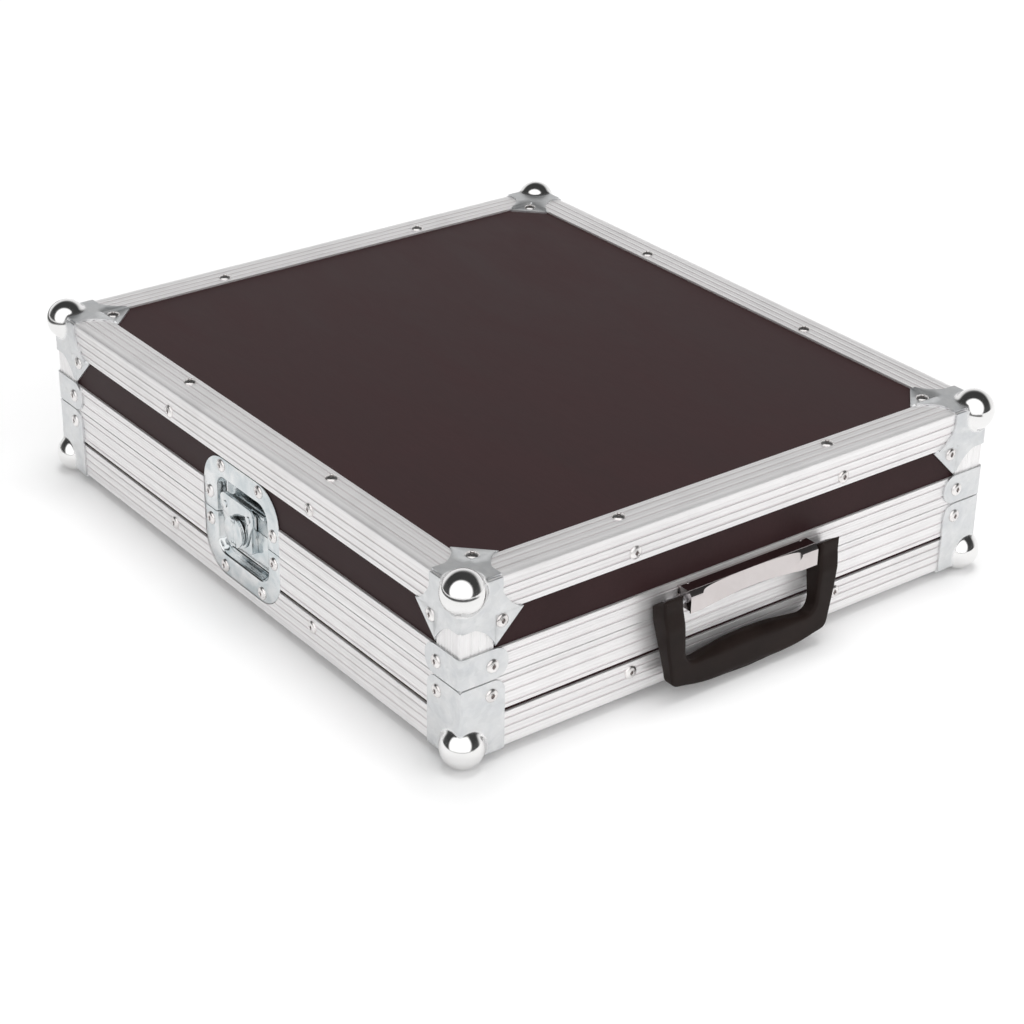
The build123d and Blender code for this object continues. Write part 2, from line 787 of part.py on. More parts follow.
def make_wing(side, end):
    """A half-disc wing with a bored knuckle on the spindle's pin."""
    here = mechanism_plane(side, spindle_drop)
    turn = {"left": -1, "right": 1}[side] * {"front": -1, "back": 1}[end]
    clear = ear_inner - ear_gap
    beside = ear_half_width + ear_gap
    with BuildPart() as wing:
        with BuildSketch(here.offset(wing_axis_out - wing_thick / 2)):
            Circle(wing_radius)
            with Locations((turn * wing_axis_side, 0)):
                align = (Align.MIN if turn > 0 else Align.MAX, Align.CENTER)
                Rectangle(wing_radius, 2 * wing_radius, align=align, mode=Mode.INTERSECT)
            with Locations((0, clear)):
                Rectangle(2 * beside, wing_radius, align=(Align.CENTER, Align.MIN), mode=Mode.SUBTRACT)
            with Locations((0, -clear)):
                Rectangle(2 * beside, wing_radius, align=(Align.CENTER, Align.MAX), mode=Mode.SUBTRACT)
        extrude(amount=wing_thick)
        with Locations(spot(here, turn * wing_axis_side, 0, wing_axis_out)):
            Cylinder(knuckle_radius, 2 * clear, rotation=(90, 0, 0))
            Cylinder(pin_radius + running_gap, 2 * wing_radius, rotation=(90, 0, 0), mode=Mode.SUBTRACT)
    save(wing.part, f"latch_wing_{end}_{side}")


def cover_outline(inset, low):
    """The handle bracket's section outline, inset by a sheet's thickness or not."""
    roll = bracket_roll - inset
    turn = roll * 0.5**0.5
    bend = (shelf_depth, shelf_level - bracket_roll)
    crest = (bend[0], bend[1] + roll)
    nose = (bend[0] + roll, bend[1])
    with BuildSketch() as outline:
        with BuildLine():
            Polyline((inset, low), (inset, crest[1]), crest)
            ThreePointArc(crest, (bend[0] + turn, bend[1] + turn), nose)
            Polyline(nose, (nose[0], low), (inset, low))
        make_face()
    return outline.sketch


def make_bracket():
    """The bent sheet over the handle's bar, with two cheeks that hold the bar."""
    scoop = (scoop_width**2 / 4 + scoop_depth**2) / (2 * scoop_depth)
    with BuildPart() as bracket:
        with BuildSketch(section_plane(front, bracket_length)):
            add(cover_outline(0, bracket_low))
            add(cover_outline(bracket_sheet, bracket_low - bracket_sheet), mode=Mode.SUBTRACT)
        extrude(amount=bracket_length)
        for end in (-1, 1):
            place = end * (bracket_length / 2 - cheek_inset) + cheek_thick / 2
            with BuildSketch(section_plane(front, 2 * place)):
                add(cover_outline(0, bracket_low))
            extrude(amount=cheek_thick)
        with BuildSketch(front.offset(bracket_reach + bracket_sheet)):
            with Locations((0, bracket_low + scoop_depth - scoop)):
                Circle(scoop)
        extrude(amount=-3 * bracket_sheet, mode=Mode.SUBTRACT)
        with Locations(spot(front, 0, bar_level, bar_out)):
            Cylinder(bar_radius + running_gap, 2 * bracket_length, rotation=(0, 90, 0), mode=Mode.SUBTRACT)
        with Locations(*[spot(front, u, v) for u, v in handle_places("front", True)]):
            Cylinder(rivet_hole, 3 * bracket_sheet, mode=Mode.SUBTRACT)
    save(bracket.part, "handle_bracket")


def make_bar():
    """The rod that the bracket's cheeks hold and the grip turns on."""
    with BuildPart() as rod:
        with Locations(spot(front, 0, bar_level, bar_out)):
            Cylinder(bar_radius, bar_length, rotation=(0, 90, 0))
    save(rod.part, "handle_bar")


def grip_front_view():
    """The grip from the front: two arms that draw in downwards, and a deep bottom bar."""
    high = bar_level + knuckle_round
    level = grip_floor + grip_belly
    foot = grip_half_low - grip_corner
    drop = grip_low_level - level
    bar_top = grip_floor + grip_bar_height
    inner = grip_opening_low - grip_inner_corner
    sill = bar_top + grip_inner_corner
    with BuildSketch() as view:
        with BuildLine():
            Line((grip_half_top, high), (grip_half_low, grip_low_level))
            RadiusArc((grip_half_low, grip_low_level), (foot, level), drop)
            ThreePointArc((foot, level), (0, grip_floor), (-foot, level))
            RadiusArc((-foot, level), (-grip_half_low, grip_low_level), drop)
            Line((-grip_half_low, grip_low_level), (-grip_half_top, high))
            Polyline((-grip_half_top, high), (-grip_opening_top, high), (-grip_opening_low, sill))
            RadiusArc((-grip_opening_low, sill), (-inner, bar_top), -grip_inner_corner)
            ThreePointArc((-inner, bar_top), (0, bar_top + grip_bar_crown), (inner, bar_top))
            RadiusArc((inner, bar_top), (grip_opening_low, sill), -grip_inner_corner)
            Polyline((grip_opening_low, sill), (grip_opening_top, high), (grip_half_top, high))
        make_face()
    return view.sketch


def grip_side_view():
    """The grip from its end: a round knuckle on the bar and a rounded toe."""
    reach = bar_out + knuckle_round
    near = bar_out - knuckle_round
    toe = grip_floor + grip_toe
    turn = grip_toe * (1 - 0.5**0.5)
    rear = grip_back + grip_toe
    fore = grip_front - grip_toe
    with BuildSketch() as view:
        with BuildLine():
            ThreePointArc((reach, bar_level), (bar_out, bar_level + knuckle_round), (near, bar_level))
            Polyline((near, bar_level), (grip_back, bar_level - knuckle_round), (grip_back, toe))
            ThreePointArc((grip_back, toe), (grip_back + turn, grip_floor + turn), (rear, grip_floor))
            Line((rear, grip_floor), (fore, grip_floor))
            ThreePointArc((fore, grip_floor), (grip_front - turn, grip_floor + turn), (grip_front, toe))
            Polyline((grip_front, toe), (grip_front, bar_level - 2 * knuckle_round), (reach, bar_level))
        make_face()
    return view.sketch


def make_grip():
    """The black plastic grip, bored for the bar."""
    with BuildPart() as grip:
        with BuildSketch(front.offset(-grip_front)):
            add(grip_front_view())
        extrude(amount=3 * grip_front)
        with BuildSketch(section_plane(front, 4 * grip_half_top)):
            add(grip_side_view())
        extrude(amount=4 * grip_half_top, mode=Mode.INTERSECT)
        with Locations(spot(front, 0, bar_level, bar_out)):
            bore = bar_length + 2 * bore_end_gap
            Cylinder(bar_radius + running_gap, bore, rotation=(0, 90, 0), mode=Mode.SUBTRACT)
    save(grip.part, "handle_grip")


make_board(under_face, "base_panel")
make_board(lid_face, "lid_panel")
for side_name in sides:
    for is_lid in (False, True):
        make_wall(side_name, is_lid)
        make_edge(side_name, is_lid)
        make_rim(side_name, is_lid)
make_posts()
for corner_name in corners:
    make_lid_corner(corner_name)
    make_brace(corner_name)
    make_base_corner(corner_name)
make_rivets(True)
make_rivets(False)
make_foams()
for latch_side in latch_middle:
    make_dish(latch_side, True)
    make_dish(latch_side, False)
    make_frame(latch_side)
    make_claw(latch_side)
    make_spindle(latch_side)
    make_wing(latch_side, "front")
    make_wing(latch_side, "back")
make_bracket()
make_bar()
make_grip()
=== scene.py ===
"""Looks of a controller case: plywood in ribbed aluminium, pressed corners, twist latches and a grip.

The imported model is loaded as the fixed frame. Every piece is drawn in millimetres in the case's own
frame, turned into a mesh in metres, and rides on the body that carries it.
"""

from __future__ import annotations

import logging
import math
from collections.abc import Iterable, Sequence
from dataclasses import dataclass, field
from enum import Enum

import bmesh
import bpy
import numpy as np
from mathutils import Matrix, Vector
from mathutils.geometry import delaunay_2d_cdt

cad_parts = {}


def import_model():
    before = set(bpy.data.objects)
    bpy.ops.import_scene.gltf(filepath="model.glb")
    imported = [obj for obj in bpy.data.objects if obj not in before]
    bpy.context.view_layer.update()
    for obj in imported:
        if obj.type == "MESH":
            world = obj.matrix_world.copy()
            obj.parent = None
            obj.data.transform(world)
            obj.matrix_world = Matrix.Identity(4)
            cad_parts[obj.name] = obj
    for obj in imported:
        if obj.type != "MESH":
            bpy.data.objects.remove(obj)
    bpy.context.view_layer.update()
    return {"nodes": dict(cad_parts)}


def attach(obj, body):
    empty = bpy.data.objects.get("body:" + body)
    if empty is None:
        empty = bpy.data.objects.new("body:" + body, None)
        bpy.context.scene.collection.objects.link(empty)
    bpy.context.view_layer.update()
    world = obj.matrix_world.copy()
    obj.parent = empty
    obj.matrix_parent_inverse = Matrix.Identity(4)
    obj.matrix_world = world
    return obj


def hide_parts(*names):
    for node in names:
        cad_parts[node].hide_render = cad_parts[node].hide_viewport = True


LOG = logging.getLogger("controller_case")
MM = 0.001

Point2 = tuple[float, float]
Point3 = tuple[float, float, float]
Colour = tuple[float, float, float]
Socket = bpy.types.NodeSocket
Inputs = dict[str | int, object] | None


class End(Enum):
    """Which half of the case a piece belongs to, named by its body."""

    LID = "lid"
    BASE = "base"

    @property
    def up(self) -> int:
        """The way from the seam into this half: 1 upward, -1 downward."""
        return 1 if self is End.LID else -1


@dataclass(frozen=True)
class CaseSizes:
    """The case's main sizes in millimetres, the same as the solids have."""

    width: float = 394.0
    depth: float = 448.0
    bottom: float = 6.0
    seam: float = 52.0
    top: float = 114.0
    mid_y: float = 3.75
    skin: float = 1.5
    board: float = 7.0
    edge_leg: float = 22.0
    lid_rim: float = 18.0
    base_rim: float = 21.6
    plate: float = 1.2
    ball: float = 13.0
    ball_inset: float = 5.5


CASE = CaseSizes()


@dataclass(frozen=True)
class Side:
    """One upright side: its middle on the floor, the way along it and the way out of it."""

    name: str
    origin: Point3
    along: Point3
    outward: Point3
    length: float

    def at(self, u: float, v: float, w: float) -> Vector:
        """A point on the side.

        Args:
            u: Millimetres along the side from its middle.
            v: Height above the floor.
            w: Distance out from the aluminium's face.

        Returns:
            The point in the case's frame, in millimetres.
        """
        return Vector(self.origin) + Vector(self.along) * u + Vector(self.outward) * w + Vector((0, 0, v))


SIDES = {
    "front": Side("front", (0, CASE.mid_y - CASE.depth / 2, 0), (1, 0, 0), (0, -1, 0), CASE.width),
    "back": Side("back", (0, CASE.mid_y + CASE.depth / 2, 0), (-1, 0, 0), (0, 1, 0), CASE.width),
    "left": Side("left", (-CASE.width / 2, CASE.mid_y, 0), (0, -1, 0), (-1, 0, 0), CASE.depth),
    "right": Side("right", (CASE.width / 2, CASE.mid_y, 0), (0, 1, 0), (1, 0, 0), CASE.depth),
}
LATCH_MIDDLE = {"left": 2.0, "right": -2.0}
CORNERS = {"front_left": (-1, -1), "front_right": (1, -1), "back_left": (-1, 1), "back_right": (1, 1)}


# Meshes


def piece_from(
    name: str, points: Iterable[Sequence[float]], faces: Iterable[Sequence[int]]
) -> bpy.types.Object:
    """Makes an object at the origin from points in millimetres.

    Args:
        name: The object's name.
        points: The points, in millimetres in the case's frame.
        faces: The faces, as runs of point numbers.

    Returns:
        The new object, linked to the scene.
    """
    mesh = bpy.data.meshes.new(name)
    mesh.from_pydata([tuple(c * MM for c in p) for p in points], [], [tuple(f) for f in faces])
    mesh.update()
    obj = bpy.data.objects.new(name, mesh)
    bpy.context.scene.collection.objects.link(obj)
    return obj


def tidy_mesh(obj: bpy.types.Object, merge: float = 0.01, recalculate: bool = True) -> None:
    """Merges doubled points and turns a closed mesh's faces outward.

    Args:
        obj: The object to tidy.
        merge: How near two points are merged, in millimetres.
        recalculate: Whether the normals are worked out again.
    """
    bm = bmesh.new()
    bm.from_mesh(obj.data)
    bmesh.ops.remove_doubles(bm, verts=bm.verts, dist=merge * MM)
    if recalculate:
        bmesh.ops.recalc_face_normals(bm, faces=bm.faces)
    bm.to_mesh(obj.data)
    bm.free()


def soften(obj: bpy.types.Object, angle: float = 34.0) -> None:
    """Shades smooth, with edges kept sharp above an angle in degrees."""
    obj.data.shade_smooth()
    obj.data.set_sharp_from_angle(angle=math.radians(angle))


def apply_modifiers(obj: bpy.types.Object) -> None:
    """Turns an object and its modifiers into a plain mesh.

    Args:
        obj: The object.
    """
    graph = bpy.context.evaluated_depsgraph_get()
    graph.update()
    result = bpy.data.meshes.new_from_object(obj.evaluated_get(graph), depsgraph=graph)
    obj.modifiers.clear()
    old = obj.data
    obj.data = result
    bpy.data.meshes.remove(old)


def add_thickness(obj: bpy.types.Object, sheet: float) -> None:
    """Gives an open shell a wall on the side away from its normals.

    Args:
        obj: The shell.
        sheet: The wall's thickness in millimetres.
    """
    modifier = obj.modifiers.new("wall", "SOLIDIFY")
    modifier.thickness = sheet * MM
    modifier.offset = -1.0
    modifier.use_even_offset = True
    apply_modifiers(obj)


def round_edges(obj: bpy.types.Object, width: float, segments: int = 2, angle: float = 40.0) -> None:
    """Bevels the edges that turn by more than an angle.

    Args:
        obj: The object.
        width: The bevel's width in millimetres.
        segments: How many faces the bevel has.
        angle: The least turn, in degrees, of an edge that is bevelled.
    """
    modifier = obj.modifiers.new("edge", "BEVEL")
    modifier.width = width * MM
    modifier.segments = segments
    modifier.limit_method = "ANGLE"
    modifier.angle_limit = math.radians(angle)
    modifier.harden_normals = False
    apply_modifiers(obj)


def cut_away(obj: bpy.types.Object, cutter: bpy.types.Object) -> None:
    """Takes a closed shape out of another and removes the cutter.

    Args:
        obj: The object that is cut.
        cutter: The closed shape.
    """
    modifier = obj.modifiers.new("cut", "BOOLEAN")
    modifier.operation = "DIFFERENCE"
    modifier.solver = "EXACT"
    modifier.object = cutter
    apply_modifiers(obj)
    bpy.data.objects.remove(cutter)


def join_pieces(name: str, pieces: Sequence[bpy.types.Object]) -> bpy.types.Object:
    """Joins meshes that sit at the origin into one, keeping their materials.

    Args:
        name: The joined object's name.
        pieces: The objects, which are removed.

    Returns:
        The joined object.
    """
    bm = bmesh.new()
    materials: list[bpy.types.Material] = []
    for piece in pieces:
        start = len(bm.faces)
        slots = [m for m in piece.data.materials if m]
        for material in slots:
            if material not in materials:
                materials.append(material)
        bm.from_mesh(piece.data)
        bm.faces.ensure_lookup_table()
        for face in list(bm.faces)[start:]:
            if slots:
                face.material_index = materials.index(slots[min(face.material_index, len(slots) - 1)])
    mesh = bpy.data.meshes.new(name)
    bm.to_mesh(mesh)
    bm.free()
    for material in materials:
        mesh.materials.append(material)
    for piece in pieces:
        bpy.data.objects.remove(piece)
    obj = bpy.data.objects.new(name, mesh)
    bpy.context.scene.collection.objects.link(obj)
    return obj


def dressed_copy(node: bpy.types.Object, name: str, edge: float, angle: float = 34.0) -> bpy.types.Object:
    """Copies a solid's mesh and rounds its edges.

    Args:
        node: The solid.
        name: The copy's name.
        edge: The rounding's width in millimetres.
        angle: Edges that turn by more than this many degrees are rounded.

    Returns:
        The copy, at the origin.
    """
    mesh = node.data.copy()
    mesh.name = name
    mesh.materials.clear()
    obj = bpy.data.objects.new(name, mesh)
    bpy.context.scene.collection.objects.link(obj)
    bm = bmesh.new()
    bm.from_mesh(mesh)
    bmesh.ops.remove_doubles(bm, verts=bm.verts, dist=0.002 * MM)
    bmesh.ops.dissolve_limit(bm, angle_limit=math.radians(1.0), verts=bm.verts, edges=bm.edges)
    bm.to_mesh(mesh)
    bm.free()
    round_edges(obj, edge, 2, angle)
    soften(obj)
    return obj


def comb(obj: bpy.types.Object, way: Vector) -> None:
    """Stores the grain: each point's place, squeezed along the way that the metal was drawn.

    Args:
        obj: The length of metal.
        way: The way along it, of length one.
    """
    points = np.empty(len(obj.data.vertices) * 3)
    obj.data.vertices.foreach_get("co", points)
    points = points.reshape(-1, 3)
    along = np.array(way)
    points = points - 0.985 * (points @ along)[:, None] * along
    grain = obj.data.attributes.get("grain") or obj.data.attributes.new("grain", "FLOAT_VECTOR", "POINT")
    grain.data.foreach_set("vector", points.ravel())


def painted_groove_shade(obj: bpy.types.Object, faces: Sequence[tuple[Vector, Vector]], deep: float) -> None:
    """Stores how far down in a groove each point is, for the painted shade that darkens the grooves.

    Args:
        obj: The length of metal.
        faces: For each ribbed face a point on it and the way in, in millimetres.
        deep: The grooves' depth.
    """
    points = np.empty(len(obj.data.vertices) * 3)
    obj.data.vertices.foreach_get("co", points)
    points = points.reshape(-1, 3) / MM
    down = np.stack([(points - np.array(place)) @ np.array(way) for place, way in faces])
    least = down.min(axis=0)
    others = down.max(axis=0) if len(faces) > 1 else np.full(len(points), 9.0)
    # Painted shade: the value grows towards a groove's bottom and darkens the colour there.
    value = np.where((least < 1.2 * deep) & (others > 1.3), np.clip(least / deep, 0, 1), 0.0)
    data = obj.data.attributes.get("painted_groove_shade") or obj.data.attributes.new("painted_groove_shade", "FLOAT", "POINT")
    data.data.foreach_set("value", value.astype(np.float32))


def place_piece(
    obj: bpy.types.Object,
    material: bpy.types.Material | None,
    body: str,
    nodes: Sequence[str] = (),
) -> bpy.types.Object:
    """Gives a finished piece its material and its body.

    Args:
        obj: The piece, at the origin.
        material: Its material, or None where it already has its own.
        body: The body that carries it.
        nodes: The solids that it stands for.

    Returns:
        The piece.
    """
    if material is not None:
        obj.data.materials.clear()
        obj.data.materials.append(material)
        obj.data.polygons.foreach_set("material_index", [0] * len(obj.data.polygons))
    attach(obj, body)
    if nodes:
        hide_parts(*nodes)
    LOG.info("%s on %s: %d faces", obj.name, body, len(obj.data.polygons))
    return obj


# Flat shapes


def arc(centre: Point2, radius: float, first: float, last: float, steps: int) -> list[Point2]:
    """Points on a circle's arc.

    Args:
        centre: The circle's centre.
        radius: Its radius.
        first: The first point's direction in degrees.
        last: The last point's direction in degrees.
        steps: How many runs the arc has.

    Returns:
        The points, both ends with them.
    """
    turn = [math.radians(first + (last - first) * k / steps) for k in range(steps + 1)]
    return [(centre[0] + radius * math.cos(t), centre[1] + radius * math.sin(t)) for t in turn]


def arc_through(first: Point2, middle: Point2, last: Point2, steps: int) -> list[Point2]:
    """Points on the arc through three points, both ends with them.

    Args:
        first: Where the arc starts.
        middle: A point on it.
        last: Where it ends.
        steps: How many runs the arc has.

    Returns:
        The points.
    """
    (ax, ay), (bx, by), (cx, cy) = first, middle, last
    d = 2 * (ax * (by - cy) + bx * (cy - ay) + cx * (ay - by))
    sa, sb, sc = ax * ax + ay * ay, bx * bx + by * by, cx * cx + cy * cy
    ox = (sa * (by - cy) + sb * (cy - ay) + sc * (ay - by)) / d
    oy = (sa * (cx - bx) + sb * (ax - cx) + sc * (bx - ax)) / d
    turns = [math.atan2(y - oy, x - ox) for x, y in (first, middle, last)]
    for k in (1, 2):
        while turns[k] - turns[k - 1] > math.pi:
            turns[k] -= 2 * math.pi
        while turns[k] - turns[k - 1] < -math.pi:
            turns[k] += 2 * math.pi
    radius = math.hypot(ax - ox, ay - oy)
    span = turns[2] - turns[0]
    places = [turns[0] + span * k / steps for k in range(steps + 1)]
    return [(ox + radius * math.cos(t), oy + radius * math.sin(t)) for t in places]


def rounded_path(points: Sequence[Point2], radius: float, steps: int = 6) -> list[Point2]:
    """Rounds the inner corners of an open path.

    Args:
        points: The path's corners.
        radius: How far from a corner the rounding starts.
        steps: How many runs each rounding has.

    Returns:
        The rounded path.
    """
    path = [points[0]]
    for before, corner, after in zip(points, points[1:], points[2:]):
        c = Vector(corner)
        a, b = Vector(before) - c, Vector(after) - c
        reach = min(radius, a.length * 0.49, b.length * 0.49)
        start, end = c + a.normalized() * reach, c + b.normalized() * reach
        for k in range(steps + 1):
            t = k / steps
            p = start * (1 - t) ** 2 + c * 2 * t * (1 - t) + end * t * t
            path.append((p.x, p.y))
    path.append(points[-1])
    return path


def rounded_rectangle(half_u: float, half_v: float, radius: float, steps: int = 12) -> list[Point2]:
    """A rounded rectangle about the origin, counted from its lower right corner.

    Args:
        half_u: Half its width.
        half_v: Half its height.
        radius: Its corner radius.
        steps: How many runs each corner has.

    Returns:
        The outline's points, once round.
    """
    u, v = half_u - radius, half_v - radius
    outline: list[Point2] = []
    for centre, start in (((u, -v), -90), ((u, v), 0), ((-u, v), 90), ((-u, -v), 180)):
        outline += arc(centre, radius, start, start + 90, steps)
    return outline


def divided(outline: Sequence[Point2], step: float) -> list[Point2]:
    """Divides a closed outline's runs so that none is longer than a step.

    Args:
        outline: The outline's points, once round.
        step: The longest run.

    Returns:
        The outline with the points that were added.
    """
    result: list[Point2] = []
    for (ax, ay), (bx, by) in zip(outline, list(outline[1:]) + [outline[0]]):
        count = max(1, round(math.hypot(bx - ax, by - ay) / step + 0.3))
        result += [(ax + (bx - ax) * k / count, ay + (by - ay) * k / count) for k in range(count)]
    return result


def grid(low: Point2, high: Point2, step: float) -> list[Point2]:
    """A grid of points between two corners."""
    us = np.arange(low[0], high[0] + step / 2, step)
    vs = np.arange(low[1], high[1] + step / 2, step)
    return [(float(u), float(v)) for u in us for v in vs]


def inside(outline: Sequence[Point2], points: Sequence[Point2], margin: float) -> list[Point2]:
    """The points that lie in an outline and clear of its edge.

    Args:
        outline: A closed outline.
        points: The points to test.
        margin: The least distance from the outline's points.

    Returns:
        The points that are inside.
    """
    if not points:
        return []
    p = np.array(points)
    o = np.array(outline)
    nxt = np.roll(o, -1, axis=0)
    hit = np.zeros(len(p), bool)
    near = np.full(len(p), 1e9)
    for (ax, ay), (bx, by) in zip(o, nxt):
        crosses = (ay > p[:, 1]) != (by > p[:, 1])
        if ay != by:
            hit ^= crosses & (p[:, 0] < (bx - ax) * (p[:, 1] - ay) / (by - ay) + ax)
        edge = np.array([bx - ax, by - ay])
        t = np.clip(((p - [ax, ay]) @ edge) / max(edge @ edge, 1e-12), 0, 1)
        near = np.minimum(near, np.hypot(*(p - [ax, ay] - t[:, None] * edge).T))
    return [q for q, keep in zip(points, hit & (near > margin)) if keep]


def filled(
    outline: Sequence[Point2], extra: Sequence[Point2] = (), holes: Sequence[Sequence[Point2]] = ()
) -> tuple[list[Point2], list[tuple[int, ...]]]:
    """Fills an outline with triangles.

    Args:
        outline: The closed outline.
        extra: Points inside it that the triangles meet.
        holes: Closed outlines that are left empty.

    Returns:
        The points and the triangles.
    """
    points = [Vector(p) for p in outline]
    edges = [(k, (k + 1) % len(outline)) for k in range(len(outline))]
    for hole in holes:
        start = len(points)
        points += [Vector(p) for p in hole]
        edges += [(start + k, start + (k + 1) % len(hole)) for k in range(len(hole))]
    points += [Vector(p) for p in extra]
    found, _, faces, *_ = delaunay_2d_cdt(points, edges, [], 2 if holes else 1, 1e-5)
    triangles = [tuple(f) for f in faces]
    if holes:
        middles = [tuple(sum(found[i][k] for i in f) / len(f) for k in (0, 1)) for f in triangles]
        keep = set(inside(outline, middles, 0.0))
        for hole in holes:
            keep -= set(inside(hole, middles, 0.0))
        triangles = [f for f, m in zip(triangles, middles) if m in keep]
    return [(p[0], p[1]) for p in found], triangles


# Node trees


def add_node(
    tree: bpy.types.NodeTree, kind: str, links: Inputs, settings: dict[str, object]
) -> bpy.types.Node:
    """Adds a node to a tree.

    Args:
        tree: The tree.
        kind: The node's type.
        links: For each input, by name or number, the socket or value that it takes.
        settings: The node's own properties.

    Returns:
        The node.
    """
    node = tree.nodes.new(kind)
    for key, value in settings.items():
        setattr(node, key, value)
    for key, value in (links or {}).items():
        if isinstance(value, Socket):
            tree.links.new(value, node.inputs[key])
        else:
            node.inputs[key].default_value = value
    return node


class Tree:
    """A Geometry Nodes tree that is drawn link by link."""

    def __init__(self, name: str) -> None:
        """Starts a tree with a geometry input and output.

        Args:
            name: The tree's name.
        """
        self.tree = bpy.data.node_groups.new(name, "GeometryNodeTree")
        self.names: dict[str, str] = {}
        self.tree.interface.new_socket("Geometry", in_out="INPUT", socket_type="NodeSocketGeometry")
        self.tree.interface.new_socket("Geometry", in_out="OUTPUT", socket_type="NodeSocketGeometry")
        self.inlet = self.tree.nodes.new("NodeGroupInput")
        self.outlet = self.tree.nodes.new("NodeGroupOutput")

    def input(self, name: str, kind: str) -> Socket:
        """Adds a named input.

        Args:
            name: The input's name.
            kind: Its socket type.

        Returns:
            The socket inside the tree.
        """
        item = self.tree.interface.new_socket(name, in_out="INPUT", socket_type=kind)
        self.names[name] = item.identifier
        return next(s for s in self.inlet.outputs if s.identifier == item.identifier)

    def node(self, kind: str, links: Inputs = None, **settings: object) -> bpy.types.Node:
        """Adds a node, with a socket or value for each named input, and its own properties."""
        return add_node(self.tree, kind, links, settings)

    def vector(self, operation: str, *terms: object) -> bpy.types.Node:
        """Adds a vector calculation.

        Args:
            operation: Its name.
            terms: Its inputs in order; a bare number goes to the scale.

        Returns:
            The node.
        """
        links = {"Scale" if operation == "SCALE" and k == 1 else k: term for k, term in enumerate(terms)}
        return self.node("ShaderNodeVectorMath", links, operation=operation)

    def finish(self, geometry: Socket) -> None:
        """Links the last geometry to the output."""
        self.tree.links.new(geometry, self.outlet.inputs[0])

    def run(self, obj: bpy.types.Object, values: dict[str, object]) -> None:
        """Runs the tree on an object and keeps only the mesh it gives.

        Args:
            obj: The object whose mesh goes in.
            values: A value for each named input.
        """
        modifier = obj.modifiers.new(self.tree.name, "NODES")
        modifier.node_group = self.tree
        for name, value in values.items():
            modifier[self.names[name]] = value
        apply_modifiers(obj)


def extrusion_tree() -> Tree:
    """The tree that draws a section into a straight length with mitred ends.

    Returns:
        The tree, with inputs for the run, the mitre's corner, the way inward, its share and the material.
    """
    tree = Tree("ribbed length")
    run = tree.input("Run", "NodeSocketVector")
    corner = tree.input("Corner", "NodeSocketVector")
    inward = tree.input("Inward", "NodeSocketVector")
    mitre = tree.input("Mitre", "NodeSocketFloat")
    material = tree.input("Material", "NodeSocketMaterial")
    geometry = tree.inlet.outputs[0]
    way = tree.vector("NORMALIZE", run)

    def shift(share: float) -> Socket:
        """How far each point slides along the run, by its depth past the mitre's corner.

        Args:
            share: How many times its depth a point slides.

        Returns:
            The offset.
        """
        place = tree.node("GeometryNodeInputPosition")
        away = tree.vector("SUBTRACT", place.outputs[0], corner)
        deep = tree.vector("DOT_PRODUCT", away.outputs[0], inward)
        part = tree.node("ShaderNodeMath", {0: deep.outputs["Value"], 1: mitre}, operation="MULTIPLY")
        part = tree.node("ShaderNodeMath", {0: part.outputs[0], 1: share}, operation="MULTIPLY")
        return tree.vector("SCALE", way.outputs[0], part.outputs[0]).outputs[0]

    start = tree.node("GeometryNodeSetPosition", {"Geometry": geometry, "Offset": shift(1.0)})
    length = {"Mesh": start.outputs[0], "Offset": run, "Offset Scale": 1.0, "Individual": False}
    drawn = tree.node("GeometryNodeExtrudeMesh", length)
    ended = tree.node(
        "GeometryNodeSetPosition",
        {"Geometry": drawn.outputs["Mesh"], "Selection": drawn.outputs["Top"], "Offset": shift(-2.0)},
    )
    cap = tree.node("GeometryNodeFlipFaces", {"Mesh": start.outputs[0]})
    joined = tree.node("GeometryNodeJoinGeometry")
    tree.tree.links.new(ended.outputs[0], joined.inputs[0])
    tree.tree.links.new(cap.outputs[0], joined.inputs[0])
    merged = tree.node("GeometryNodeMergeByDistance", {"Geometry": joined.outputs[0], "Distance": 0.000002})
    real = tree.node("GeometryNodeRealizeInstances", {"Geometry": merged.outputs[0]})
    last = tree.node("GeometryNodeSetMaterial", {"Geometry": real.outputs[0], "Material": material})
    tree.finish(last.outputs[0])
    return tree


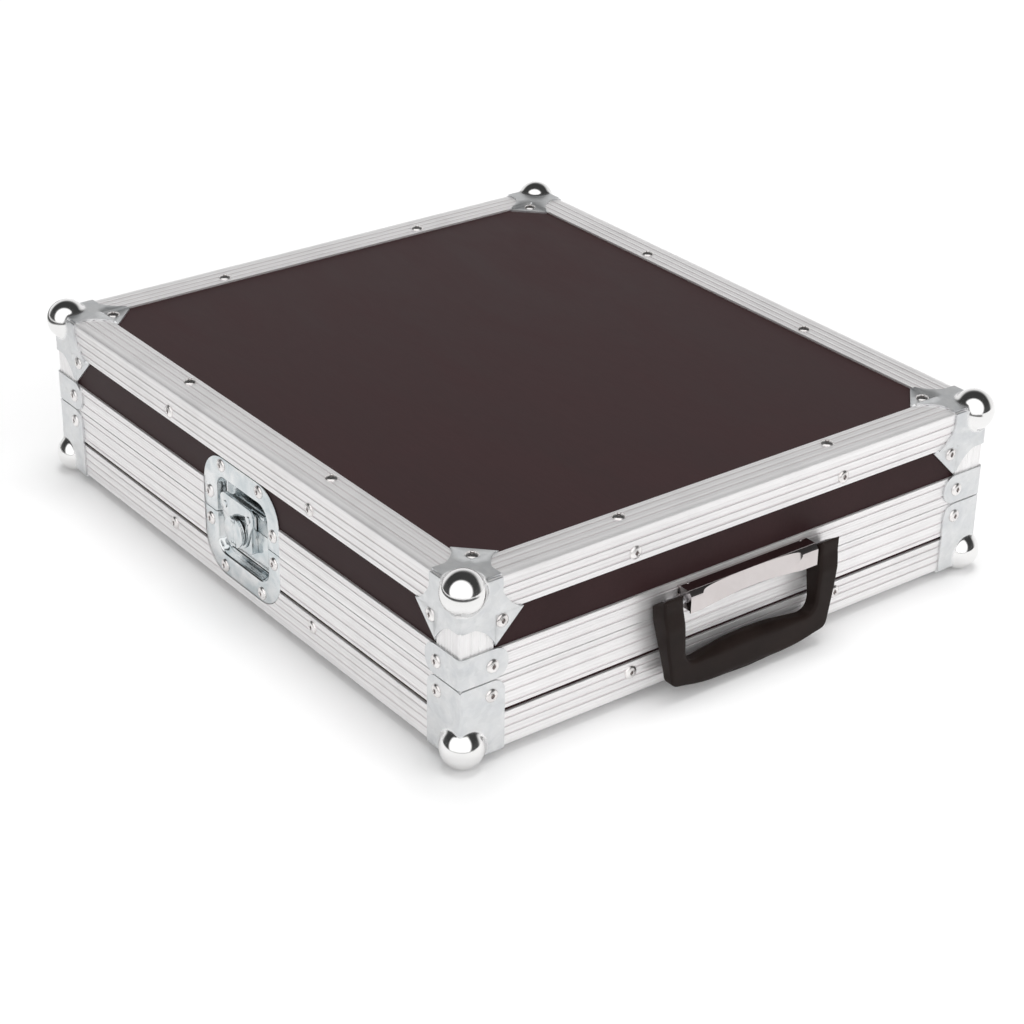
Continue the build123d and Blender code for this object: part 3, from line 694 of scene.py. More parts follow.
def rivet_tree() -> Tree:
    """The tree that sets a rivet on every point, turned to the point's aim.

    Returns:
        The tree, with inputs for the rivet, the seed of its spin and both materials.
    """
    tree = Tree("rivets in rows")
    rivet = tree.input("Rivet", "NodeSocketObject")
    seed = tree.input("Spin seed", "NodeSocketInt")
    head = tree.input("Head", "NodeSocketMaterial")
    pin = tree.input("Pin", "NodeSocketMaterial")
    aim = tree.node("GeometryNodeInputNamedAttribute", {"Name": "aim"}, data_type="FLOAT_VECTOR")
    turned = tree.node("FunctionNodeAlignEulerToVector", {"Vector": aim.outputs[0]}, axis="Z")
    spin = tree.node("FunctionNodeRandomValue", {2: 0.0, 3: 6.283, "Seed": seed}, data_type="FLOAT")
    source = tree.node("GeometryNodeObjectInfo", {"Object": rivet})
    points = tree.node("GeometryNodeMeshToPoints", {"Mesh": tree.inlet.outputs[0]})
    placed = tree.node(
        "GeometryNodeInstanceOnPoints",
        {"Points": points.outputs[0], "Instance": source.outputs["Geometry"], "Rotation": turned.outputs[0]},
    )
    about = tree.node("ShaderNodeCombineXYZ", {"Z": spin.outputs[1]})
    spun = tree.node(
        "GeometryNodeRotateInstances",
        {"Instances": placed.outputs[0], "Rotation": about.outputs[0], "Local Space": True},
    )
    real = tree.node("GeometryNodeRealizeInstances", {"Geometry": spun.outputs[0]})
    heads = tree.node("GeometryNodeSetMaterial", {"Geometry": real.outputs[0], "Material": head})
    is_pin = tree.node("GeometryNodeInputNamedAttribute", {"Name": "pin"}, data_type="BOOLEAN")
    picked = next(s for s in is_pin.outputs if s.enabled and s.name == "Attribute")
    pins = tree.node(
        "GeometryNodeSetMaterial", {"Geometry": heads.outputs[0], "Selection": picked, "Material": pin}
    )
    tree.finish(pins.outputs[0])
    return tree


# Finishes


class Shading:
    """A shader tree that is drawn node by node."""

    def __init__(self, tree: bpy.types.NodeTree) -> None:
        """Starts with a tree that has its output."""
        self.tree = tree

    def node(self, kind: str, links: Inputs = None, **settings: object) -> bpy.types.Node:
        """Adds a node, with a socket or value for each named input, and its own properties."""
        return add_node(self.tree, kind, links, settings)

    def place(self, scale: Point3 = (1, 1, 1), attribute: str = "") -> Socket:
        """The point on the piece, stretched.

        Args:
            scale: How much each axis is multiplied.
            attribute: A stored vector to read in place of the object's own coordinates.

        Returns:
            The stretched point.
        """
        if attribute:
            source = self.node("ShaderNodeAttribute", attribute_name=attribute).outputs["Vector"]
        else:
            source = self.node("ShaderNodeTexCoord").outputs["Object"]
        return self.node("ShaderNodeMapping", {"Vector": source, "Scale": scale}).outputs[0]

    def noise(
        self, place: Socket, scale: float, detail: float = 3.0, rough: float = 0.55, warp: float = 0.0
    ) -> Socket:
        """A noise value at a place.

        Args:
            place: Where it is read.
            scale: Its cells per metre.
            detail: How many finer layers it has.
            rough: How strong those layers are.
            warp: How far it is distorted.

        Returns:
            The value.
        """
        links = {"Vector": place, "Scale": scale, "Detail": detail, "Roughness": rough, "Distortion": warp}
        return self.node("ShaderNodeTexNoise", links).outputs["Fac"]

    def ramp(self, value: Socket, *stops: tuple[float, Colour | float]) -> Socket:
        """A colour ramp.

        Args:
            value: The value that it reads.
            stops: Places on the ramp and their colours, or greys.

        Returns:
            The colour.
        """
        node = self.node("ShaderNodeValToRGB", {"Fac": value})
        elements = node.color_ramp.elements
        while len(elements) < len(stops):
            elements.new(0.5)
        for element, (position, colour) in zip(elements, stops):
            element.position = position
            rgb = (colour,) * 3 if isinstance(colour, float) else colour
            element.color = (*rgb, 1.0)
        return node.outputs["Color"]

    def range(self, value: Socket, low: float, high: float, start: float = 0.3, stop: float = 0.7) -> Socket:
        """Maps a noise value from start and stop to low and high.

        Args:
            value: The value that it reads.
            low: The result at start.
            high: The result at stop.
            start: Where the mapping starts.
            stop: Where it ends.

        Returns:
            The mapped value.
        """
        links = {"Value": value, "From Min": start, "From Max": stop, "To Min": low, "To Max": high}
        return self.node("ShaderNodeMapRange", links).outputs["Result"]

    def blend(self, share: object, first: object, second: object, kind: str = "MIX") -> Socket:
        """Mixes two colours.

        Args:
            share: How much of the second there is.
            first: The first colour.
            second: The second colour.
            kind: How they mix.

        Returns:
            The mixed colour.
        """
        first, second = (c if isinstance(c, Socket) else (*c, 1.0) for c in (first, second))
        links = {0: share, 6: first, 7: second}
        return self.node("ShaderNodeMix", links, data_type="RGBA", blend_type=kind).outputs[2]

    def bump(self, height: Socket, strength: float, depth: float, under: object = None) -> Socket:
        """Bends the shading by a height.

        Args:
            height: The height value.
            strength: How much of it shows.
            depth: Its depth in millimetres.
            under: A normal that this one lies on.

        Returns:
            The bent normal.
        """
        links: dict[str | int, object] = {"Height": height, "Strength": strength, "Distance": depth * MM}
        if under is not None:
            links["Normal"] = under
        return self.node("ShaderNodeBump", links).outputs["Normal"]

    def calc(self, operation: str, first: object, second: object) -> Socket:
        """The result of one calculation on two values or sockets."""
        return self.node("ShaderNodeMath", {0: first, 1: second}, operation=operation).outputs[0]

    def cells(self, scale: float, feature: str = "F1") -> bpy.types.Node:
        """A cell pattern on the piece, with so many cells per metre."""
        return self.node("ShaderNodeTexVoronoi", {"Vector": self.place(), "Scale": scale}, feature=feature)

    def stored(self, name: str) -> Socket:
        """A number stored on the piece's points."""
        return self.node("ShaderNodeAttribute", attribute_name=name).outputs["Fac"]


class Surface(Shading):
    """A material that is drawn round one Principled shader."""

    def __init__(self, name: str) -> None:
        """Starts a material with its shader and output."""
        self.material = bpy.data.materials.new(name)
        self.material.use_nodes = True
        super().__init__(self.material.node_tree)
        self.shader = self.tree.nodes["Principled BSDF"]

    def set(self, **values: object) -> None:
        """Sets the shader's inputs: colour, metal, rough, normal, specular or sheen."""
        names = {
            "colour": "Base Color",
            "metal": "Metallic",
            "rough": "Roughness",
            "normal": "Normal",
            "specular": "Specular IOR Level",
            "sheen": "Sheen Weight",
        }
        for key, value in values.items():
            socket = self.shader.inputs[names[key]]
            if isinstance(value, Socket):
                self.tree.links.new(value, socket)
            elif isinstance(value, tuple):
                socket.default_value = (*value, 1.0)
            else:
                socket.default_value = value


@dataclass(frozen=True)
class SatinAluminium:
    """Anodised extrusion: pale, with fine streaks along its length, a few darker handling marks and painted
    shade in its grooves.
    """

    name: str = "ribbed aluminium"
    light: Colour = (0.925, 0.915, 0.915)
    dark: Colour = (0.80, 0.775, 0.775)
    # the colour of the painted shade at a groove's bottom
    painted_groove_shade_colour: Colour = (0.86, 0.82, 0.83)
    attribute: str = "grain"

    def make(self) -> bpy.types.Material:
        """Draws the material.

        Returns:
            The material.
        """
        s = Surface(self.name)
        fine = s.noise(s.place(attribute=self.attribute), 1500.0, 3.0, 0.6)
        broad = s.noise(s.place(attribute=self.attribute), 260.0, 2.0)
        smudge = s.noise(s.place(), 26.0, 4.0, 0.6, 0.4)
        streak = s.ramp(fine, (0.3, self.dark), (0.55, self.light))
        band = s.ramp(broad, (0.3, 0.9), (0.62, 1.0))
        marks = s.ramp(smudge, (0.34, 0.92), (0.5, 1.0))
        # Painted shade: the colour darkens towards the bottom of each groove.
        painted_groove_shade = s.stored("painted_groove_shade")
        colour = s.blend(1.0, s.blend(0.5, self.light, streak), band, "MULTIPLY")
        colour = s.blend(1.0, colour, s.ramp(painted_groove_shade, (0.0, (1.0, 1.0, 1.0)), (1.0, self.painted_groove_shade_colour)), "MULTIPLY")
        s.set(colour=s.blend(0.6, colour, marks, "MULTIPLY"), metal=0.6, specular=0.5)
        s.set(rough=s.range(broad, 0.34, 0.48), normal=s.bump(fine, 0.22, 0.02))
        return s.material


@dataclass(frozen=True)
class ZincPlate:
    """Bright zinc plate on pressed steel: blue-grey, cloudy on the flats and polished on the balls."""

    name: str = "zinc plate"
    light: Colour = (0.75, 0.757, 0.76)
    dark: Colour = (0.62, 0.635, 0.65)
    polished: Colour = (0.83, 0.825, 0.82)
    flat_rough: float = 0.34
    ball_rough: float = 0.09
    flat_metal: float = 0.85

    def make(self) -> bpy.types.Material:
        """Draws the material.

        Returns:
            The material.
        """
        s = Surface(self.name)
        cloud = s.noise(s.place(), 55.0, 5.0, 0.62, 0.8)
        grit = s.noise(s.place(), 900.0, 3.0, 0.6)
        grey = s.node("ShaderNodeRGBToBW", {0: s.cells(260.0).outputs["Color"]}).outputs[0]
        tone = s.ramp(cloud, (0.3, self.dark), (0.62, self.light))
        tone = s.blend(0.12, tone, s.ramp(grey, (0.2, 0.55), (0.8, 1.0)), "MULTIPLY")
        ball = s.stored("ball")
        rough = s.range(ball, self.flat_rough, self.ball_rough, 0.0, 1.0)
        s.set(rough=s.calc("ADD", rough, s.range(cloud, -0.04, 0.07)), normal=s.bump(grit, 0.16, 0.02))
        s.set(colour=s.blend(ball, tone, self.polished), metal=s.range(ball, self.flat_metal, 1.0, 0.0, 1.0))
        return s.material


@dataclass(frozen=True)
class MirrorPlate:
    """Nickel or clear zinc over a smooth pressing: a near mirror with faint cloudiness."""

    name: str
    light: Colour
    dark: Colour
    rough_low: float
    rough_high: float

    def make(self) -> bpy.types.Material:
        """Draws the material.

        Returns:
            The material.
        """
        s = Surface(self.name)
        cloud = s.noise(s.place(), 70.0, 4.0, 0.6, 0.5)
        hair = s.noise(s.place((1, 9, 9)), 420.0, 2.0)
        s.set(colour=s.ramp(cloud, (0.32, self.dark), (0.6, self.light)), metal=1.0)
        s.set(rough=s.range(cloud, self.rough_low, self.rough_high), normal=s.bump(hair, 0.06, 0.01))
        return s.material


@dataclass(frozen=True)
class PinEnd:
    """The rivet's broken mandrel, dull and dark."""

    name: str = "rivet pin"
    colour: Colour = (0.11, 0.09, 0.09)

    def make(self) -> bpy.types.Material:
        """Draws the material.

        Returns:
            The material.
        """
        s = Surface(self.name)
        rust = s.noise(s.place(), 1500.0, 4.0)
        s.set(colour=s.ramp(rust, (0.35, self.colour), (0.7, (0.3, 0.25, 0.23))), metal=0.7, rough=0.5)
        s.set(normal=s.bump(rust, 0.5, 0.05))
        return s.material


@dataclass(frozen=True)
class PhenolicBoard:
    """Film-faced plywood: dark red-brown, faintly mottled under a satin film with a fine pebble."""

    name: str = "phenolic board"
    dark: Colour = (0.030, 0.0140, 0.0148)
    light: Colour = (0.041, 0.0200, 0.0212)
    speck: Colour = (0.3, 0.27, 0.26)
    speck_share: float = 0.16

    def make(self) -> bpy.types.Material:
        """Draws the material.

        Returns:
            The material.
        """
        s = Surface(self.name)
        mottle = s.noise(s.place((1, 0.35, 1)), 20.0, 6.0, 0.65, 0.5)
        fibre = s.noise(s.place((1, 0.06, 1)), 1100.0, 3.0)
        pebble = s.cells(1400.0, "SMOOTH_F1").outputs["Distance"]
        dust = s.noise(s.place(), 700.0, 2.0, 0.7)
        tone = s.ramp(mottle, (0.3, self.dark), (0.72, self.light))
        tone = s.blend(0.35, tone, s.ramp(fibre, (0.35, 0.72), (0.65, 1.0)), "MULTIPLY")
        specks = s.calc("MULTIPLY", s.ramp(dust, (0.74, 0.0), (0.8, 1.0)), self.speck_share)
        tone = s.blend(specks, tone, self.speck)
        s.set(colour=tone, rough=s.range(mottle, 0.38, 0.5), specular=0.09)
        s.set(normal=s.bump(pebble, 0.22, 0.03, s.bump(fibre, 0.12, 0.02)))
        return s.material


@dataclass(frozen=True)
class MouldedPlastic:
    """Black-brown moulded plastic: a fine spark-eroded texture, with broad patches that differ in tone and
    smoothness.
    """

    name: str = "moulded grip"
    dark: Colour = (0.0125, 0.0078, 0.0066)
    light: Colour = (0.0210, 0.0138, 0.0118)

    def make(self) -> bpy.types.Material:
        """Draws the material.

        Returns:
            The material.
        """
        s = Surface(self.name)
        wear = s.noise(s.place(), 32.0, 4.0, 0.6)
        grain = s.noise(s.place(), 1700.0, 2.0, 0.6)
        s.set(colour=s.ramp(wear, (0.32, self.dark), (0.68, self.light)), rough=s.range(wear, 0.38, 0.5))
        s.set(specular=0.1, normal=s.bump(grain, 0.3, 0.03))
        return s.material


@dataclass(frozen=True)
class FoamCell:
    """Dark open-cell foam: round pits of two sizes with painted shade in the larger ones, no gloss and a soft
    edge light.
    """

    name: str = "foam"
    colour: Colour = (0.045, 0.045, 0.048)

    def make(self) -> bpy.types.Material:
        """Draws the material.

        Returns:
            The material.
        """
        s = Surface(self.name)
        large = s.cells(720.0).outputs["Distance"]
        small = s.noise(s.place(), 2300.0, 3.0)
        dark, light = (tuple(share * c for c in self.colour) for share in (0.8, 1.25))
        shade = s.ramp(s.noise(s.place(), 30.0, 3.0), (0.3, dark), (0.7, light))
        # Painted shade: the colour darkens towards the middle of each larger pit.
        pore_shade = s.ramp(large, (0.12, 0.5), (0.5, 1.0))
        s.set(colour=s.blend(0.8, shade, pore_shade, "MULTIPLY"), rough=0.95, specular=0.15, sheen=0.25)
        s.set(normal=s.bump(large, 0.8, 0.4, s.bump(small, 0.5, 0.15)))
        return s.material


@dataclass(frozen=True)
class DrawnRod:
    """Drawn steel rod with rings of fine scratches round it."""

    name: str = "drawn rod"

    def make(self) -> bpy.types.Material:
        """Draws the material.

        Returns:
            The material.
        """
        s = Surface(self.name)
        rings = s.noise(s.place((1, 0.05, 0.05)), 2600.0, 3.0)
        s.set(colour=s.ramp(rings, (0.3, (0.36, 0.36, 0.37)), (0.7, (0.6, 0.6, 0.62))), metal=1.0)
        s.set(rough=s.range(rings, 0.24, 0.36), normal=s.bump(rings, 0.2, 0.02))
        return s.material


@dataclass
class Finishes:
    """Every finish on the case, made once."""

    aluminium: bpy.types.Material = field(init=False)
    zinc: bpy.types.Material = field(init=False)
    nickel: bpy.types.Material = field(init=False)
    latch: bpy.types.Material = field(init=False)
    rivet: bpy.types.Material = field(init=False)
    pin: bpy.types.Material = field(init=False)
    board: bpy.types.Material = field(init=False)
    grip: bpy.types.Material = field(init=False)
    foam: bpy.types.Material = field(init=False)
    rod: bpy.types.Material = field(init=False)

    def __post_init__(self) -> None:
        """Makes the materials."""
        self.aluminium = SatinAluminium().make()
        self.zinc = ZincPlate().make()
        self.nickel = MirrorPlate("nickel plate", (0.62, 0.58, 0.575), (0.58, 0.54, 0.535), 0.05, 0.09).make()
        self.latch = MirrorPlate("latch plate", (0.74, 0.752, 0.755), (0.52, 0.57, 0.59), 0.10, 0.2).make()
        self.rivet = MirrorPlate("rivet head", (0.88, 0.86, 0.85), (0.70, 0.67, 0.66), 0.2, 0.34).make()
        self.pin = PinEnd().make()
        self.board = PhenolicBoard().make()
        self.grip = MouldedPlastic().make()
        self.foam = FoamCell().make()
        self.rod = DrawnRod().make()


# Ribbed lengths


@dataclass
class RibbedFrame:
    """The aluminium: edge angles, closure profile and corner posts, each drawn out of one section."""

    finish: bpy.types.Material
    tree: Tree
    grooves: tuple[float, ...] = (7.2, 12.5, 17.8)
    lines: tuple[float, ...] = (4.4, 9.85, 15.15, 20.2)
    groove_width: float = 1.5
    groove_deep: float = 0.24
    line_width: float = 0.9
    line_deep: float = 0.06
    outer_round: float = 1.4
    lid_rim_grooves: tuple[float, ...] = (6.5, 14.0)
    lid_rim_lines: tuple[float, ...] = (2.8, 4.6, 8.6, 10.4, 12.1, 16.2)
    base_rim_grooves: tuple[float, ...] = (4.0, 11.5, 18.6)
    base_rim_lines: tuple[float, ...] = (2.0, 6.4, 8.9, 13.8, 16.3, 20.3)
    dish: tuple[float, float, float] = (42.4, 39.7, 22.4)
    pan: tuple[float, float, float] = (30.0, 27.0, 10.5)

    def ribs(self, grooves: Sequence[float], lines: Sequence[float], low: float, high: float) -> list[Point2]:
        """The outer face of a ribbed flat, as distance along it and height out.

        Args:
            grooves: Where the deep grooves are.
            lines: Where the fine lines are.
            low: Where the flat starts.
            high: Where it ends.

        Returns:
            The points, in order along the flat.
        """
        marks = [(g, self.groove_width / 2, self.groove_deep) for g in grooves]
        marks += [(g, self.line_width / 2, self.line_deep) for g in lines]
        points: list[Point2] = [(low, 0.0)]
        for place, half, deep in sorted(marks):
            slope = half * 0.62
            points += [(place - half, 0.0), (place - half + slope, -deep)]
            points += [(place + half - slope, -deep), (place + half, 0.0)]
        return points + [(high, 0.0)]

    def angle_section(self) -> list[Point2]:
        """The edge angle's section, as depth inward from the side and distance from the outer edge.

        Returns:
            The points, once round.
        """
        leg = CASE.edge_leg
        flat = self.ribs(self.grooves, self.lines, self.outer_round, leg - 0.3)
        side = [(-h, d) for d, h in flat]
        cap = [(d, -h) for d, h in flat]
        r = self.outer_round
        corner = [(r * (1 - math.cos(t)), r * (1 - math.sin(t))) for t in (0.4, 0.8, 1.2)]
        tip = [(0.3, leg), (CASE.skin, leg), (CASE.skin, CASE.skin), (leg, CASE.skin), (leg, 0.3)]
        return list(reversed(side)) + corner + cap + list(reversed(tip))

    def rim_section(self, end: End) -> list[Point2]:
        """The closure profile's section, as depth inward and distance from the seam.

        Args:
            end: The half that it belongs to.

        Returns:
            The points, once round.
        """
        lid = end is End.LID
        height = CASE.lid_rim if lid else CASE.base_rim
        grooves = self.lid_rim_grooves if lid else self.base_rim_grooves
        flat = self.ribs(grooves, self.lid_rim_lines if lid else self.base_rim_lines, 0.5, height - 0.3)
        side = [(-h, d) for d, h in flat]
        back = [(0.3, height), (CASE.skin, height)]
        if lid:
            web = [(1.5, 1.5), (8.5, 1.5), (8.5, 14.0), (10.0, 14.0), (10.0, 0.0)]
            tongue = [(6.0, 0.0), (6.0, -2.7), (5.7, -3.0), (4.3, -3.0), (4.0, -2.7), (4.0, 0.0), (0.5, 0.0)]
            return side + back + web + tongue
        web = [(1.5, 4.6), (8.5, 4.6), (8.5, 14.0), (10.0, 14.0), (10.0, 0.0)]
        slot = [(6.4, 0.0), (6.4, 3.4), (3.6, 3.4), (3.6, 0.0), (0.5, 0.0)]
        return side + back + web + slot

    def draw(
        self, name: str, points: Sequence[Vector], run: Vector, corner: Vector, inward: Vector, mitre: float
    ) -> bpy.types.Object:
        """Draws a section out along a run.

        Args:
            name: The new object's name.
            points: The section at the run's start, in millimetres.
            run: The way and the length to draw it.
            corner: A point on the outer edge, where the mitre has no depth.
            inward: The way into the case.
            mitre: 1 for mitred ends, 0 for square ones.

        Returns:
            The drawn length.
        """
        obj = piece_from(name, points, [range(len(points))])
        values = {
            "Run": tuple(run * MM),
            "Corner": tuple(corner * MM),
            "Inward": tuple(inward),
            "Mitre": mitre,
            "Material": self.finish,
        }
        self.tree.run(obj, values)
        tidy_mesh(obj)
        soften(obj, 22.0)
        return obj

    def prism(self, side: Side, outline: Sequence[Point2], low: float, high: float) -> bpy.types.Object:
        """A closed prism on a side, used to cut the latch's place.

        Args:
            side: The side.
            outline: The outline about the latch's middle.
            low: Where it starts, out from the face.
            high: Where it ends.

        Returns:
            The prism.
        """
        middle = LATCH_MIDDLE[side.name]
        count = len(outline)
        points = [side.at(middle + u, CASE.seam + v, w) for w in (low, high) for u, v in outline]
        walls = [(k, (k + 1) % count, count + (k + 1) % count, count + k) for k in range(count)]
        obj = piece_from("cutter", points, walls + [tuple(range(count)), tuple(range(count, 2 * count))])
        tidy_mesh(obj)
        return obj

    def build_side(self, side: Side, end: End) -> None:
        """Draws and dresses one edge angle and one closure profile.

        Args:
            side: The side that they are on.
            end: The half that they belong to.
        """
        start = -side.length / 2
        level = CASE.top if end is End.LID else CASE.bottom
        run, inward = Vector(side.along) * side.length, -Vector(side.outward)
        section = [side.at(start, level - end.up * d, -deep) for deep, d in self.angle_section()]
        corner = side.at(start, level, 0)
        edge = self.draw(f"{end.value}_angle_{side.name}", section, run, corner, inward, 1.0)
        section = [side.at(start, CASE.seam + end.up * d, -deep) for deep, d in self.rim_section(end)]
        rim = self.draw(f"{end.value}_closure_{side.name}", section, run, corner, inward, 1.0)
        if side.name in LATCH_MIDDLE:
            for obj in (edge, rim):
                dish = rounded_rectangle(*self.dish, steps=10)
                cut_away(obj, self.prism(side, dish, -CASE.skin - 0.02, 3.0))
            cut_away(rim, self.prism(side, rounded_rectangle(*self.pan, steps=8), -8.52, 3.0))
            for obj in (edge, rim):
                soften(obj, 22.0)
        for obj in (edge, rim):
            comb(obj, Vector(side.along))
        # Painted shade for the grooves, stored on the points.
        face = (side.at(0, 0, 0), inward)
        painted_groove_shade(edge, [face, (Vector((0, 0, level)), Vector((0, 0, -end.up)))], self.groove_deep)
        painted_groove_shade(rim, [face], self.groove_deep)
        place_piece(edge, self.finish, end.value, [f"{end.value}_edge_{side.name}"])
        place_piece(rim, self.finish, end.value, [f"{end.value}_rim_{side.name}"])

    def build_posts(self) -> None:
        """Draws the four short upright angles at the lid's corners."""
        low = CASE.seam + CASE.lid_rim
        run = Vector((0, 0, CASE.top - CASE.edge_leg - low))
        posts = []
        for name, (sx, sy) in CORNERS.items():
            x, y = sx * CASE.width / 2, CASE.mid_y + sy * CASE.depth / 2
            section = [Vector((x - sx * a, y - sy * b, low)) for a, b in self.angle_section()]
            posts.append(self.draw(f"post_{name}", section, run, section[0], Vector((1, 0, 0)), 0.0))
        posts_piece = join_pieces("lid_corner_posts", posts)
        soften(posts_piece, 22.0)
        comb(posts_piece, Vector((0, 0, 1)))
        place_piece(posts_piece, self.finish, "lid", ["lid_posts"])

    def build(self) -> None:
        """Draws every length."""
        for side in SIDES.values():
            for end in End:
                self.build_side(side, end)
        self.build_posts()


# Pressed corners


@dataclass
class PressedCorners:
    """Zinc-plated corners: sheet pressed over the case's corner, with a ball raised in it.

    A corner is drawn on three flat faces round the sharp corner. Each point is then drawn towards a
    place deep inside until it meets the pressed shape: the rounded corner and the ball run together.
    Distances a, b and c count inward from the aluminium's three outer faces.
    """

    finish: bpy.types.Material
    fold: float = 2.4
    blend: float = 1.7
    step: float = 0.85
    leg: float = 27.0
    leg_width: float = 9.0
    tip: float = 42.0
    scallop: float = 3.0
    slit: Point2 = (17.5, 0.5)
    base_leg: float = 29.0
    base_high: float = 45.5
    base_round: float = 8.0
    base_ball_up: float = 6.6
    brace_leg: float = 31.0
    brace_low: float = 46.5
    brace_high: float = 65.3
    brace_round: float = 8.5
    pip: float = 10.0
    deep: float = 14.0
    joggle_gap: float = 0.05
    joggle_run: float = 1.2
    pip_high: float = 0.45
    march_steps: int = 90
    march_share: float = 0.9

    def shape(self, p: np.ndarray, ball: Point3 | None, open_end: bool) -> np.ndarray:
        """How far points are outside the pressed shape.

        Args:
            p: The points, as rows of a, b and c.
            ball: The ball's centre, or None for a plain fold.
            open_end: Whether the third face is left out.

        Returns:
            The distances, below zero inside.
        """
        reach = -(p + CASE.plate) + self.fold
        if open_end:
            reach = reach[:, :2]
        box = np.linalg.norm(np.maximum(reach, 0), axis=1) + np.minimum(reach.max(axis=1), 0) - self.fold
        if ball is None:
            return box
        away = np.linalg.norm(p - np.array(ball), axis=1) - CASE.ball
        h = np.clip(0.5 + 0.5 * (away - box) / self.blend, 0, 1)
        return away + (box - away) * h - self.blend * h * (1 - h)

    def press(self, q: np.ndarray, ball: Point3 | None, open_end: bool) -> np.ndarray:
        """Draws points towards the inside until they meet the pressed shape.

        Args:
            q: Points on the sharp outer faces.
            ball: The ball's centre, or None.
            open_end: Whether the third face is left out.

        Returns:
            The points on the pressed shape.
        """
        target = np.full_like(q, self.deep)
        if open_end:
            target[:, 2] = q[:, 2]
        way = q - target
        length = np.linalg.norm(way, axis=1, keepdims=True)
        way = way / length
        far = length[:, 0] + 14.0
        for _ in range(self.march_steps):
            far = far - self.march_share * self.shape(target + way * far[:, None], ball, open_end)
        return target + way * far[:, None]

    def lid_outline(self, first_slit: bool, second_slit: bool) -> list[Point2]:
        """One face of a lid corner.

        Args:
            first_slit: Whether the edge along its first direction is slit where the sheet was folded.
            second_slit: Whether the other edge is.

        Returns:
            The outline.
        """
        p, cut = -CASE.plate, CASE.edge_leg + 0.1 + CASE.plate
        along = (self.leg + self.tip - self.scallop) / 2
        across = (self.leg_width + cut + self.scallop) / 2
        first = arc_through((self.leg, self.leg_width), (along, across), (self.tip, cut), 14)
        second = arc_through((cut, self.tip), (across, along), (self.leg_width, self.leg), 14)
        slit, wide = self.slit
        start = [(slit, p), (slit, wide), (self.leg, wide)] if first_slit else [(self.leg, p)]
        end = [(wide, self.leg), (wide, slit), (p, slit)] if second_slit else [(p, self.leg)]
        return [(p, p)] + start + first + second + end

    def base_outline(self) -> list[Point2]:
        """One side face of a base corner."""
        p, r = -CASE.plate, self.base_round
        top = arc((self.base_leg - r, self.base_high - r), r, 0, 90, 12)
        return [(p, p), (self.base_leg, p)] + top + [(p, self.base_high)]

    def brace_outline(self) -> list[Point2]:
        """One face of a brace."""
        r, low, high = self.brace_round, self.brace_low, self.brace_high
        foot = arc((self.brace_leg - r, low + r), r, -90, 0, 12)
        head = arc((self.brace_leg - r, high - r), r, 0, 90, 12)
        return [(-CASE.plate, low)] + foot + head + [(-CASE.plate, high)]

    def face(
        self,
        outline: Sequence[Point2],
        axes: tuple[int, int, int],
        dense: tuple[Point2, Point2],
        ball: Point3 | None,
        open_end: bool,
        crank: bool,
    ) -> tuple[np.ndarray, list[tuple[int, ...]]]:
        """Draws one face of a corner and presses it.

        Args:
            outline: The face's outline.
            axes: Which of a, b and c run along it, up it and across it.
            dense: Two corners of the area that needs close points.
            ball: The ball's centre, or None.
            open_end: Whether the third face is left out.
            crank: Whether the far part steps down to the board.

        Returns:
            The pressed points and the triangles.
        """
        edge = divided(outline, self.step)
        spots = grid(dense[0], dense[1], self.step)
        ridge = CASE.edge_leg + self.joggle_gap
        if crank:
            levels = [ridge + 0.3 * k for k in range(5)]
            reach = np.arange(ridge + 1.9, self.tip, self.step)
            spots += [(a, b) for a in levels for b in levels]
            spots += [pair for a in levels for b in reach for pair in ((a, float(b)), (float(b), a))]
        spots = inside(edge, spots, 0.35 * self.step)
        flat, triangles = filled(edge, spots)
        q = np.full((len(flat), 3), -CASE.plate)
        q[:, axes[0]] = [p[0] for p in flat]
        q[:, axes[1]] = [p[1] for p in flat]
        pressed = self.press(q, ball, open_end)
        if crank:
            near = np.minimum(q[:, axes[0]], q[:, axes[1]])
            t = np.clip((near - ridge) / self.joggle_run, 0, 1)
            pressed[:, axes[2]] += CASE.skin * t * t * (3 - 2 * t)
        if ball is None:
            away = np.hypot(q[:, axes[0]] - self.pip, q[:, axes[1]] - (self.brace_low + self.brace_high) / 2)
            pressed[:, axes[2]] -= self.pip_high * np.exp(-(away**2))
        return pressed, triangles

